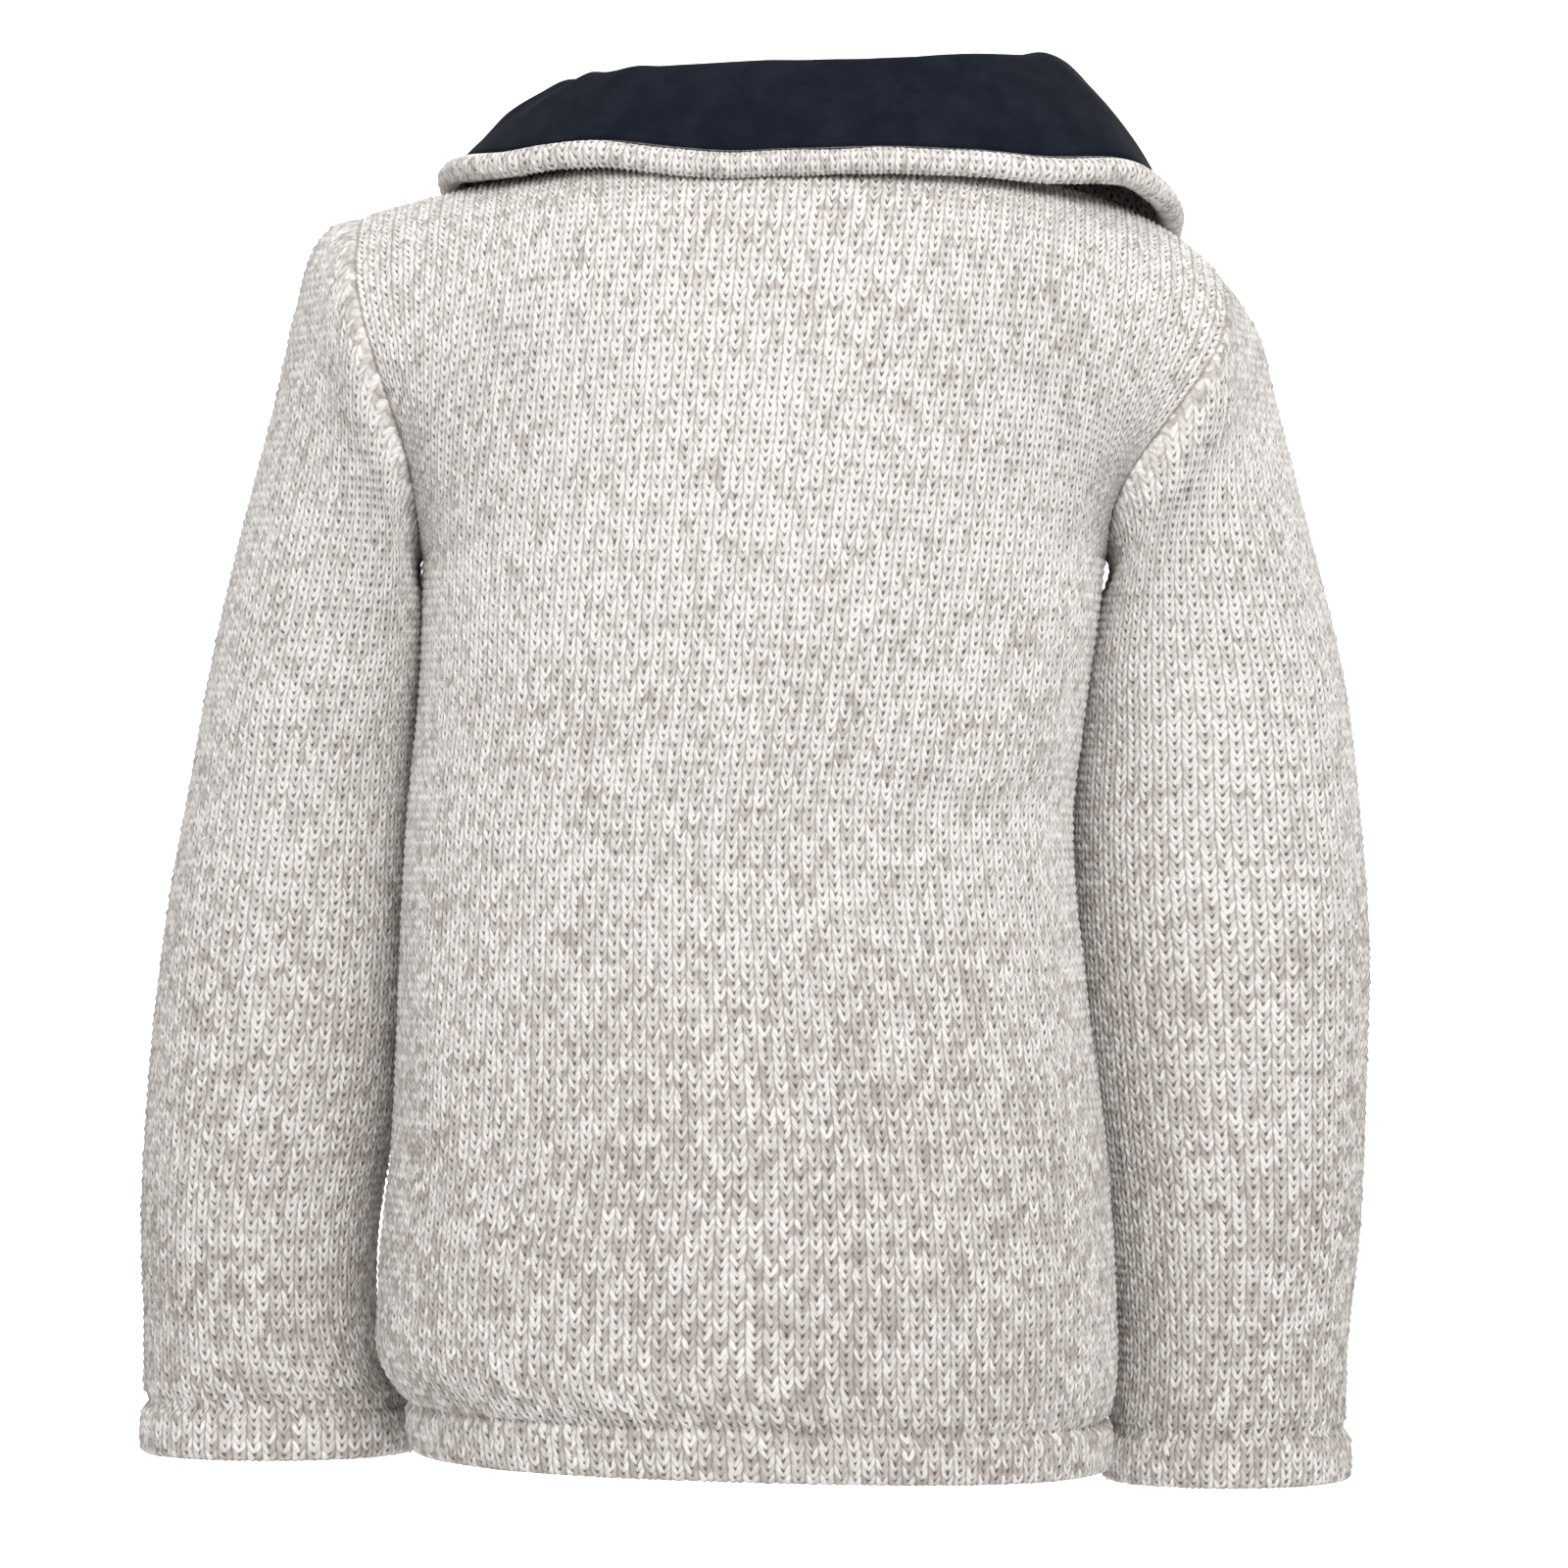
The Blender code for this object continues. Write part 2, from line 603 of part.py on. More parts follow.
def main():
    """Builds the whole cardigan."""
    for old in list(bpy.data.objects):
        bpy.data.objects.remove(old, do_unlink=True)
    group = bpy.data.collections.new("Cardigan")
    bpy.context.scene.collection.children.link(group)
    collar = collar_sheet(COLLAR_KNIT)
    sheets = body_sheets() + [sleeve_sheet(1), sleeve_sheet(-1), collar]
    inner_ways, corners = seam_ways(sheets)
    for sheet in sheets:
        outer, inside = walled(sheet, inner_ways, corners, NECK_GAP if sheet is collar else SEAM)
        place(group, sheet.name, shell_mesh(sheet.name, outer, inside, sheet.ring), KNIT_COLOUR)
    above = walled(collar_sheet(COLLAR_KNIT + SEAM), inner_ways, corners, NECK_GAP)[1]
    under = walled(collar_sheet(COLLAR_STACK), inner_ways, corners, NECK_GAP)[1]
    place(group, "collar_facing", shell_mesh("collar_facing", above, under), FLEECE_COLOUR)
    edge_roll(group)
    band = band_sheet()
    lower = band.grid + band.normal * SEAM
    upper = lower + band.normal * BAND_WALL
    place(group, band.name, shell_mesh(band.name, upper, lower), KNIT_COLOUR)
    heights = upper[:, 1, 2]
    for number, height in enumerate(np.linspace(BUTTON_TOP_Z, BUTTON_LOW_Z, BUTTON_COUNT), start=1):
        point = [float(np.interp(height, heights, upper[:, 1, axis])) for axis in range(3)]
        normal = [float(np.interp(height, heights, band.normal[:, 1, axis])) for axis in range(3)]
        button(group, number, Vector(point) * MM, Vector(normal).normalized())


main()
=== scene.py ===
"""Dresses the knitted cardigan: knit and fleece sheets, edge roll, buttons and the studio."""

import math

import bmesh
import bpy
import numpy as np
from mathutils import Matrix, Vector


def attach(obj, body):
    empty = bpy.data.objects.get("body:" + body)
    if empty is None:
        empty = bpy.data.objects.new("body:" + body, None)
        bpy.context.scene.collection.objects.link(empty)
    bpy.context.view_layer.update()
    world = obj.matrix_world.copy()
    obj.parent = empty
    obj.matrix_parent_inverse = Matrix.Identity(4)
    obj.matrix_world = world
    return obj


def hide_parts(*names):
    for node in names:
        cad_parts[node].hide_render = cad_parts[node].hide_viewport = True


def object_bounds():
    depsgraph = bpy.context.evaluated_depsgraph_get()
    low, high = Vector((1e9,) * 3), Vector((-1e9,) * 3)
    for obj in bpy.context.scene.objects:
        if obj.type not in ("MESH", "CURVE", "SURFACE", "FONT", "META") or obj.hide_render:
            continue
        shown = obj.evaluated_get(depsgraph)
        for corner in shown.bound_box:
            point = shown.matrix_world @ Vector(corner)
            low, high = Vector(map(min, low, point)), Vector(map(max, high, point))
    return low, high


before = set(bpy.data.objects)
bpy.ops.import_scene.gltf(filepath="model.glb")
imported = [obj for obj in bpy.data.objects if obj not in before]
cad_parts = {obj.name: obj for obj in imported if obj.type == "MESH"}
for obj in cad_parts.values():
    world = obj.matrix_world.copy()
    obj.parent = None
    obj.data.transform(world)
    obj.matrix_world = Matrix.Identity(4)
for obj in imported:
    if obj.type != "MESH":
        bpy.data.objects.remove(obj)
cad_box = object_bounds()

bl_info = {
    "name": "Cardigan Dressing",
    "version": (1, 0, 0),
    "blender": (4, 5, 0),
    "location": "View3D > Sidebar > Cardigan",
    "description": "Builds the cloth, buttons and studio of a knitted cardigan on its frame",
    "category": "Object",
}

MM = 0.001

# Walls
WALL = 4.0
HEM_WALL = 7.0
COLLAR_KNIT = 3.0
COLLAR_FLEECE = 2.2
SEAM = 0.3

# Levels down the body
UNDERARM_Z = -201.0
HEM_GROOVE_Z = -659.0
HEM_Z = -687.0
HEM_SLOPE = 5.0
GROOVE_DEPTH = 2.6
GROOVE_WIDTH = 3.2
# How far a hem's band stands out, and its edge goes in again, each over a height
HEM_SWELL = (1.2, 8.0)
HEM_EDGE = (2.4, 5.0)
# Half the width and depth of the plain oval that tells the trunk's outward side
TRUNK_HALF = (190.0, 128.0)

# Torso sections: level, side edges, front and back, and how square the section is
TORSO_COLUMNS = ("z", "left", "right", "front", "back", "square")
TORSO_ROWS = (
    (-201, 189, -178, -130, 126, 2.35),
    (-270, 191, -169, -130, 122, 2.35),
    (-345, 198, -161, -127, 117, 2.35),
    (-430, 202, -168, -126, 117, 2.40),
    (-520, 206, -179, -128, 123, 2.45),
    (-600, 213, -184, -131, 129, 2.50),
    (-640, 211, -184, -132, 130, 2.50),
    (-659, 199, -181, -129, 128, 2.50),
    (-687, 194, -180, -128, 128, 2.50),
)

# Neckline and collar around the neck, in turns from the centre back: radii from the neck's
# axis and heights of the neck seam, the collar's fold and its outer edge
NECK_X = -14.0
NECK_Y = -15.0
COLLAR_COLUMNS = ("turn", "seam_r", "seam_z", "fold_r", "fold_z", "edge_r", "edge_z")
COLLAR_ROWS = (
    (-180, 80, -72, 86, -42, 126, -108),
    (-150, 92, -50, 104, -18, 152, -77),
    (-120, 110, -12, 123, 24, 182, -24),
    (-90, 118, 8, 127, 50, 189, 5),
    (-60, 104, 6, 122, 55, 174, 4),
    (-30, 90, 1, 100, 57, 138, 1),
    (0, 85, -1, 84, 60, 122, 1),
    (30, 90, 0, 102, 60, 141, 1),
    (60, 104, 3, 130, 65, 182, -1),
    (90, 118, 2, 141, 66, 201, -15),
    (120, 110, -16, 133, 35, 196, -49),
    (150, 92, -51, 106, -16, 158, -88),
    (180, 80, -72, 86, -42, 126, -112),
)
COLLAR_SPREAD = 18.0
FOLD_RADIUS = 5.0
ROLL_GAP = 1.1
FALL_BOW = 3.0
COLLAR_STACK = COLLAR_KNIT + SEAM + COLLAR_FLEECE
EDGE_ROLL_RADIUS = 6.8

# Shoulder ends, where the shoulder seam meets the armhole
SHOULDER_END = {1: (222, -2, -17), -1: (-241, -2, -50)}
SHOULDER_BOW = {1: 3.0, -1: 13.0}
ARMHOLE_DEPTH = 84.0
CHEST_DEPTH = 119.0
# How squarely the panels turn over towards the neck, and how far the corner where the shoulder
# meets the neck is spread below the seam
BACK_SQUARE = 2.4
FRONT_SQUARE = 1.1
CORNER_SPREAD = 0.35

# Sleeve rings from armhole to cuff: outer and inner edges as seen from behind, and depths
SLEEVE_COLUMNS = ("outer_x", "outer_z", "inner_x", "inner_z", "mid_y", "half_y")
LEFT_SLEEVE_ROWS = (
    (222, -17, 189, -201, 0, 84),
    (238.7, -22, 192.0, -206, -2, 83),
    (250.7, -38, 192.5, -215, -4, 82),
    (259.5, -70, 189.8, -227, -8, 80),
    (270.5, -117, 189.2, -245, -14, 77),
    (287.8, -180, 190.2, -270, -22, 73),
    (305.0, -249, 194.5, -305, -31, 69),
    (320.0, -325, 197.2, -352, -41, 66),
    (334.0, -400, 198.6, -412, -50, 63),
    (343.5, -480, 204.5, -482, -55, 60),
    (348.3, -560, 217.5, -560, -58, 57),
    (346.8, -617, 219.0, -617, -58, 54),
    (347.0, -648, 209.5, -648, -57, 53),
    (346.5, -660, 201.5, -660, -57, 52),
    (347.5, -691.5, 199.0, -691.5, -57, 53),
)
RIGHT_SLEEVE_ROWS = (
    (-241, -50, -178, -201, 0, 84),
    (-249.8, -60, -181.5, -206, -2, 83),
    (-262.8, -83, -182.0, -214, -4, 82),
    (-271.0, -115, -176.8, -225, -8, 80),
    (-283.0, -160, -171.2, -243, -14, 77),
    (-296.8, -210, -166.4, -268, -22, 73),
    (-311.0, -268, -164.0, -300, -31, 69),
    (-320.0, -335, -161.2, -350, -41, 66),
    (-326.5, -410, -163.8, -415, -50, 63),
    (-325.6, -480, -170.5, -482, -55, 60),
    (-322.8, -560, -180.5, -560, -58, 57),
    (-315.8, -627, -186.5, -627, -58, 54),
    (-314.5, -663, -185.0, -663, -57, 53),
    (-315.0, -676, -183.0, -676, -57, 52),
    (-315.4, -706.5, -182.0, -706.5, -57, 53),
)
CUFF_HEIGHT = 31.0
SLEEVE_TOP = len(LEFT_SLEEVE_ROWS) - 1
# The wearer's left and right, by the sign of X
SIDES = ((1, "left"), (-1, "right"))

# Spans of the collar's stand, fold and fall
STAND_SPANS = 4
FOLD_SPANS = 5
FALL_SPANS = 5

# Front closure
BAND_FROM = 1 + 6 / 7
BAND_TOP = 1.9
BAND_WALL = 3.5
BUTTON_COUNT = 6
BUTTON_RADIUS = 11.5
BUTTON_THICK = 4.2
BUTTON_TOP_Z = -112.0
BUTTON_LOW_Z = -622.0
BUTTON_THREAD = 0.4
# A buttonhole: half its length, its two rings of thread and the thread's radius
BUTTONHOLE_HALF = 12.5
BUTTONHOLE_RINGS = (1.6, 2.4)
BUTTONHOLE_THREAD = 0.55

# Knit sheets: samples along a column, the inset of its side edges as a share, and how many rows
# high a wale is wide
COLUMN_SAMPLES = 260
EDGE_INSET = 0.0003
WALE_TO_ROW = 1.43
# Seams: how deep they lie and how wide, the rows that snap to them, how far their painted gap shade stays
# faint and their painted seam shade reaches beside them, and the smallest face that is kept, in square
# metres
SEAM_DIP = 1.3
SEAM_WIDTH = 2.4
SEAM_SNAP = 0.2
SEAM_CALM = 17.0
SMALLEST_FACE = 1e-11
# Hems and cuffs: their rows, and how their stitch line sinks and their band puffs out
HEM_ROWS = 6
HEM_STITCH = 1.7
HEM_PUFF = 1.0
# Wales of each knit piece
WALES = {"back": 74, "front": 37, "sleeve": 58, "collar": 96, "roll": 150, "band": 5}
# Points across and along of a panel's fleece, and of the grids that give the other surfaces
FLEECE_POINTS = (48, 90)
COLLAR_GRID = (241, 64)
FACING_GRID = (481, 81)
ROLL_GRID = (361, 49)
BAND_GRID = (33, 400)
# Where the roll's tube starts and ends, hidden under the collar
ROLL_SEAM = math.radians(130)

# Soft folds: a line's two ends in X and Z, its width, its rise, and which face it is on
BACK_FOLDS = (
    (150, -235, 60, -262, 26, 2.2, 1),
    (-60, -52, 60, -48, 16, -2.0, 1),
    (-170, -215, -120, -300, 18, 3.0, 1),
    (-165, -330, -60, -345, 16, -2.2, 1),
    (-160, -300, -70, -318, 14, 1.8, 1),
    (120, -560, -20, -600, 24, 2.4, 1),
    (-150, -600, -60, -570, 22, 2.2, 1),
    (185, -420, 140, -640, 14, 2.6, 1),
    (60, -640, -60, -646, 9, 1.6, 1),
)
FRONT_FOLDS = {
    1: (
        (150, -225, 60, -300, 24, 2.4, -1), (160, -560, 40, -600, 22, 2.4, -1),
        (120, -400, 40, -380, 26, 2.0, -1),
    ),
    -1: (
        (-140, -235, -50, -290, 24, 2.6, -1), (-150, -590, -40, -560, 22, 2.2, -1),
        (-120, -430, -40, -450, 24, 2.0, -1),
    ),
}
SLEEVE_FOLDS = {
    1: (
        (215, -250, 285, -300, 20, 2.6, 1), (225, -420, 300, -452, 20, 2.4, 1),
        (215, -600, 300, -590, 16, 2.0, 1), (230, -330, 300, -350, 22, 2.2, -1),
        (225, -500, 310, -540, 20, 2.4, -1),
    ),
    -1: (
        (-185, -265, -260, -330, 20, 2.6, 1), (-190, -390, -290, -430, 22, 2.6, 1),
        (-195, -560, -270, -600, 18, 2.2, 1), (-200, -330, -290, -360, 22, 2.2, -1),
        (-195, -500, -290, -540, 20, 2.4, -1),
    ),
}
# Folds of the facing: turn, lean, first and last level, width and rise
FACING_FOLDS = (
    (-62, -14, 0.42, 0.72, 3.2, 2.2),
    (-74, -18, 0.42, 0.78, 3.0, 2.6),
    (-86, -20, 0.40, 0.80, 3.4, 2.4),
    (-48, -8, 0.44, 0.62, 4.0, 1.2),
    (70, 12, 0.42, 0.75, 5.0, 1.5),
    (100, 18, 0.42, 0.80, 5.0, 2.0),
)

# Waves of the collar's edge: turn, spread and rise
EDGE_WAVES = ((-44, 12, 4.5), (-16, 9, -1.2), (20, 10, 0.8), (50, 8, -2.2), (68, 9, 4.2))

# Studio, in metres: the floor runs back from FLOOR_FRONT and bends up into the backdrop
CAMERA = (-0.0053, 3.0, -0.323)
FLOOR_DROP = 0.26
FLOOR_FRONT = 4.5
FLOOR_RUN = 8.0
BACKDROP_BEND = 2.0
SWEEP_HALF_WIDTH = 8.0
SWEEP_HALF_LENGTH = 6.5
WORLD_LIGHT = 0.48
# Lamps: name, place, target, size and share of the key's power
LAMPS = (
    ("key", (-0.5, 2.7, 1.5), (0, 0, -0.25), 1.8, 1.24),
    ("fill", (2.2, 2.4, 0.2), (0, 0, -0.4), 2.0, 0.14),
    ("top", (0.2, 0.2, 2.4), (0, 0, 0), 1.6, 0.22),
    ("front", (-0.6, -2.6, 1.4), (0, 0, -0.35), 2.0, 0.4),
    ("backdrop_left", (2.4, -2.2, 1.6), (1.0, -5.2, -0.2), 1.6, 2.2),
    ("backdrop_right", (-2.4, -2.2, 1.6), (-1.0, -5.2, -0.2), 1.6, 2.2),
)


def column(rows, names, name):
    """One named column of a table."""
    return np.array([row[names.index(name)] for row in rows], float)


def smooth(at, knots, values):
    """A smooth curve through a table's values, with slopes from the neighbouring rows."""
    order = np.argsort(knots)
    knots = knots[order]
    values = values[order]
    slopes = np.gradient(values, knots)
    at = np.clip(np.asarray(at, float), knots[0], knots[-1])
    k = np.clip(np.searchsorted(knots, at, side="right") - 1, 0, len(knots) - 2)
    span = knots[k + 1] - knots[k]
    t = (at - knots[k]) / span
    rise = values[k] * (1 + 2 * t) * (1 - t) ** 2 + values[k + 1] * t * t * (3 - 2 * t)
    return rise + span * (slopes[k] * t * (1 - t) ** 2 - slopes[k + 1] * t * t * (1 - t))


def sized(rows, names, at, *wanted, knots=None):
    """A table's wanted columns at places along its first column, or along given knots."""
    knots = column(rows, names, names[0]) if knots is None else knots
    return [smooth(at, knots, column(rows, names, name)) for name in wanted or names]


def ease(t):
    """A soft step from 0 to 1."""
    t = np.clip(t, 0.0, 1.0)
    return t * t * (3 - 2 * t)


def unit(vectors):
    """Vectors of length one."""
    return vectors / np.maximum(np.linalg.norm(vectors, axis=-1, keepdims=True), 1e-9)


def run_along(points):
    """How far lines of points have run at each point, down the first axis."""
    steps = np.linalg.norm(np.diff(points, axis=0), axis=-1)
    return np.concatenate([np.zeros_like(steps[:1]), np.cumsum(steps, axis=0)])


def torso(angle, z):
    """The torso's outer surface: angle from the left side over the back, and level."""
    left, right, front, back, square = sized(TORSO_ROWS, TORSO_COLUMNS, z, *TORSO_COLUMNS[1:])
    power = 2 / square
    half_x = (left - right) / 2
    mid_x = (left + right) / 2
    depth = np.where(np.sin(angle) > 0, back, -front)
    x = mid_x + half_x * np.sign(np.cos(angle)) * np.abs(np.cos(angle)) ** power
    y = np.sign(np.sin(angle)) * depth * np.abs(np.sin(angle)) ** power
    drop = HEM_SLOPE * ease((UNDERARM_Z - z) / (UNDERARM_Z - HEM_Z)) * x / half_x
    return np.stack([x, y, z + drop], -1)


def hem_relief(height, band):
    """How far a turned-up hem's stitch line sinks and its band stands out, above its edge."""
    groove = -GROOVE_DEPTH * np.exp(-(((height - band) / GROOVE_WIDTH) ** 2))
    swell = HEM_SWELL[0] * ease((band - height) / HEM_SWELL[1])
    return groove + swell - HEM_EDGE[0] * ease((HEM_EDGE[1] - height) / HEM_EDGE[1])


def spaced_angles(start, stop, share):
    """Angles that divide the underarm section into the given shares of its length."""
    fine = np.linspace(start, stop, 721)
    run = run_along(torso(fine, np.full_like(fine, UNDERARM_Z)))
    return np.interp(np.asarray(share) * run[-1], run, fine)


def neckline(turn, kind):
    """A point of the neck seam, the collar's fold or its edge, by its turn in degrees."""
    radius, height = sized(COLLAR_ROWS, COLLAR_COLUMNS, turn, kind + "_r", kind + "_z")
    angle = np.radians(90 + np.asarray(turn))
    return np.stack([NECK_X + radius * np.cos(angle), NECK_Y + radius * np.sin(angle), height], -1)


def top_edge(side, back, along):
    """The panel's top boundary for one side: 0 at the armhole, 1 at the neck, 2 at the centre."""
    turn_side = -90.0 if side > 0 else 90.0
    turn_mid = 0.0 if back else 2 * turn_side
    neck_end = neckline(np.array(turn_side), "seam")
    start = np.array(SHOULDER_END[side], float)
    share = np.clip(along, 0, 1)
    seam = start + (neck_end - start) * share[..., None]
    seam[..., 2] += SHOULDER_BOW[side] * np.sin(math.pi * share**0.7)
    neck = neckline(turn_side + (turn_mid - turn_side) * np.clip(along - 1, 0, 1), "seam")
    return np.where((along <= 1)[..., None], seam, neck)


def soft_top(side, back, along):
    """The top boundary with its corner at the neck's side spread out."""
    reach = CORNER_SPREAD * np.minimum(1, np.minimum(along, 2 - along) / CORNER_SPREAD)
    steps = (-1, -0.5, 0, 0.5, 1)
    return sum(top_edge(side, back, along + step * reach) for step in steps) / len(steps)


def panel(side, back, along, level):
    """A body panel's outer surface for one side.

    along runs 0 at the side seam, 1 below the neck's side, 2 at the centre;
    level runs 0 at the hem, 1 at the underarm, 2 at the shoulder and neck.
    """
    facing = 1 if back else -1
    start = 0.0 if side > 0 else math.pi
    sweep = spaced_angles(start, start + side * facing * math.pi / 2, along / 2)
    lower_z = HEM_Z + (UNDERARM_Z - HEM_Z) * np.clip(level, 0, 1)
    lower = torso(sweep, lower_z)
    outward = unit(lower * [1 / TRUNK_HALF[0] ** 2, 1 / TRUNK_HALF[1] ** 2, 0])
    lower = lower + outward * hem_relief(lower_z - HEM_Z, HEM_GROOVE_Z - HEM_Z)[..., None]
    base = torso(sweep, np.full_like(lower_z, UNDERARM_Z))
    rise = np.clip(level - 1, 0, 1)
    rise = rise**1.5 / (rise**1.5 + (1 - rise) ** 1.5)
    soft = soft_top(side, back, along)
    top = soft + (top_edge(side, back, along) - soft) * ease((rise - 0.55) / 0.45)[..., None]
    inward = ease(along / 1.1)
    power = 2 / (2.0 + inward * (BACK_SQUARE if back else FRONT_SQUARE))
    climb = np.sin(rise * math.pi / 2) ** power
    fold = np.clip(np.cos(rise * math.pi / 2), 0, 1) ** power
    depth = ARMHOLE_DEPTH + (CHEST_DEPTH - ARMHOLE_DEPTH) * np.sin(along * math.pi / 4)
    swell = depth - facing * (top[..., 1] * 0.14 + base[..., 1] * 0.86)
    shift = ease((climb - 0.08) / 0.8) * (1 - inward) + climb * inward
    x = base[..., 0] + (top[..., 0] - base[..., 0]) * shift
    y = top[..., 1] + (base[..., 1] - top[..., 1]) * fold + facing * swell * np.sin(math.pi * rise**0.68)
    z = base[..., 2] + (top[..., 2] - base[..., 2]) * climb
    upper = np.stack([x, y, z], -1)
    return np.where((level <= 1)[..., None], lower, upper)


def sleeve(side, around, along):
    """A sleeve's outer surface.

    around runs from the underarm over the back to the shoulder (1) and down the front (2);
    along runs over the table's rows, from 0 at the armhole.
    """
    rows = LEFT_SLEEVE_ROWS if side > 0 else RIGHT_SLEEVE_ROWS
    knots = np.arange(len(rows), dtype=float)
    angle = np.asarray(around) * math.pi
    lean = -np.cos(angle)

    def ring(outer_x, outer_z, inner_x, inner_z, mid_y, half_y):
        x = inner_x + (outer_x - inner_x) / 2 * (1 + lean)
        z = inner_z + (outer_z - inner_z) / 2 * (1 + lean)
        return np.stack([x, mid_y + half_y * np.sin(angle), z], -1)

    sizes = sized(rows, SLEEVE_COLUMNS, along, knots=knots)
    outer_x, outer_z, inner_x, inner_z, mid_y, _ = sizes
    tube = ring(*sizes)
    level = np.where(around <= 1, around, 2 - around)
    edge = np.zeros_like(level)
    behind = panel(side, True, edge, 1 + level)
    before = panel(side, False, edge, 1 + level)
    armhole = np.where((around <= 1)[..., None], behind, before)
    keep = 1 - ease(along / 4.0)
    middle = np.stack([outer_x - (outer_x - inner_x) / 2, mid_y, tube[..., 2]], -1)
    tube = tube + keep[..., None] * (armhole - ring(*rows[0]))
    height = outer_z - (outer_z - inner_z) / 2 - (rows[-1][1] + rows[-1][3]) / 2
    return tube + unit(tube - middle) * hem_relief(height, CUFF_HEIGHT)[..., None]


def around_neck(turn, radius, height, share):
    """A collar point, with the front ends spread apart towards the collar's edge."""
    spread = turn - COLLAR_SPREAD * share * math.copysign((abs(turn) / 180.0) ** 4, turn)
    angle = math.radians(90 + spread)
    return (NECK_X + radius * math.cos(angle), NECK_Y + radius * math.sin(angle), height)


def collar_measures(turn):
    """Radius and height of the neck seam, the fold's centre and the edge roll at one turn."""
    sizes = np.array(sized(COLLAR_ROWS, COLLAR_COLUMNS, turn, *COLLAR_COLUMNS[1:]))
    centre = sizes[2:4] - [0, FOLD_RADIUS + COLLAR_STACK]
    wave = sum(rise * math.exp(-(((turn - at) / spread) ** 2)) for at, spread, rise in EDGE_WAVES)
    return sizes[0:2], centre, sizes[4:6] + [0, wave]


def collar_profile(turn):
    """The knit face's section at one turn: stand, fold and fall."""
    seam, centre, edge = collar_measures(turn)
    lean = math.atan2(centre[0] - FOLD_RADIUS - seam[0], centre[1] - seam[1])
    fall = unit(edge - centre)
    for _ in range(4):
        under = np.array([fall[1], -fall[0]])
        last = edge - fall * (EDGE_ROLL_RADIUS + ROLL_GAP) + under * COLLAR_STACK / 2
        tilt = math.atan2(last[0] - centre[0], centre[1] - last[1])
        bends = np.linspace(math.pi - lean, tilt, FOLD_SPANS + 1)
        arc = [centre + FOLD_RADIUS * np.array([math.cos(bend), math.sin(bend)]) for bend in bends]
        lower = []
        for share in np.linspace(0, 1, FALL_SPANS + 1)[1:]:
            bow = under * -FALL_BOW * math.sin(math.pi * share)
            lower.append(arc[-1] + (last - arc[-1]) * share + bow)
        fall = unit(lower[-1] - lower[-2])
    stand = [seam + (arc[0] - seam) * share for share in np.linspace(0, 1, STAND_SPANS + 1)[:-1]]
    section = stand + arc + lower
    shares = np.linspace(0, 1, len(section))
    return [around_neck(turn, point[0], point[1], share) for point, share in zip(section, shares)]


def column_runs(surface, across, span):
    """Levels over a surface's span, and how far each column has run at them."""
    fine = np.linspace(span[0], span[1], COLUMN_SAMPLES)
    return fine, run_along(surface(*np.meshgrid(across, fine)))


def levels_at(fine, runs, lengths):
    """For each column, the levels at the given lengths along it."""
    return np.stack([np.interp(*pair, fine) for pair in zip(lengths.T, runs.T)], 1)


def normals_of(grid):
    """Unit normals of a grid of points, to the side its columns and rows turn it."""
    return unit(np.cross(np.gradient(grid, axis=1), np.gradient(grid, axis=0)))


def trough(points, line):
    """A soft fold's depth or rise at points, along one line seen from the front or back."""
    x1, z1, x2, z2, width, height, face = line
    run = np.array([x2 - x1, z2 - z1], float)
    away = points[..., [0, 2]] - [x1, z1]
    share = (away @ run) / (run @ run)
    reach = np.abs(away @ np.array([-run[1], run[0]])) / np.linalg.norm(run)
    fade = ease((share + 0.3) / 0.6) * ease((1.3 - share) / 0.6)
    return height * np.exp(-((reach / width) ** 2)) * fade * ease(points[..., 1] * face / 30.0)


def folds(points, normals, lines):
    """Points moved out and in by all the soft folds of one piece."""
    shift = sum(trough(points, line) for line in lines)
    return points + normals * np.asarray(shift)[..., None]


def baked(mesh, name):
    """A bmesh turned into mesh data, and freed."""
    data = bpy.data.meshes.new(name)
    mesh.to_mesh(data)
    mesh.free()
    return data


def placed(name, data):
    """A new object in the scene."""
    made = bpy.data.objects.new(name, data)
    bpy.context.scene.collection.objects.link(made)
    return made


def evaluated(piece):
    """The mesh of an object with its modifiers or bevel applied; the object goes."""
    graph = bpy.context.evaluated_depsgraph_get()
    data = bpy.data.meshes.new_from_object(piece.evaluated_get(graph))
    bpy.data.objects.remove(piece, do_unlink=True)
    return data


def finish_mesh(name, points, coords, drop=None, clear=1.0):
    """A grid of points as a piece, with a UV map in stitches and how clear its marks are: where clear is
    low, the painted gap shade is fainter and painted seam shade greys the wool.

    drop tells the points whose faces are left out.
    """
    lines, columns = points.shape[:2]
    mesh = bmesh.new()
    bmesh.ops.create_grid(mesh, x_segments=columns - 1, y_segments=lines - 1, size=0.5)
    data = baked(mesh, name)
    data.vertices.foreach_set("co", (points.reshape(-1, 3) * MM).ravel())
    layer = data.uv_layers.new(name="stitches")
    corners = np.empty(len(data.loops), dtype=np.int32)
    data.loops.foreach_get("vertex_index", corners)
    layer.data.foreach_set("uv", coords.reshape(-1, 2)[corners].astype(np.float32).ravel())
    data.update()
    marks = data.attributes.new("clear", "FLOAT", "POINT")
    marks.data.foreach_set("value", np.broadcast_to(clear, points.shape[:2]).ravel())
    if drop is not None:
        trim = bmesh.new()
        trim.from_mesh(data)
        gone = [face for face in trim.faces
                if all(drop.flat[v.index] for v in face.verts) or face.calc_area() < SMALLEST_FACE]
        bmesh.ops.delete(trim, geom=gone, context="FACES")
        trim.to_mesh(data)
        trim.free()
    data.shade_smooth()
    return placed(name, data)


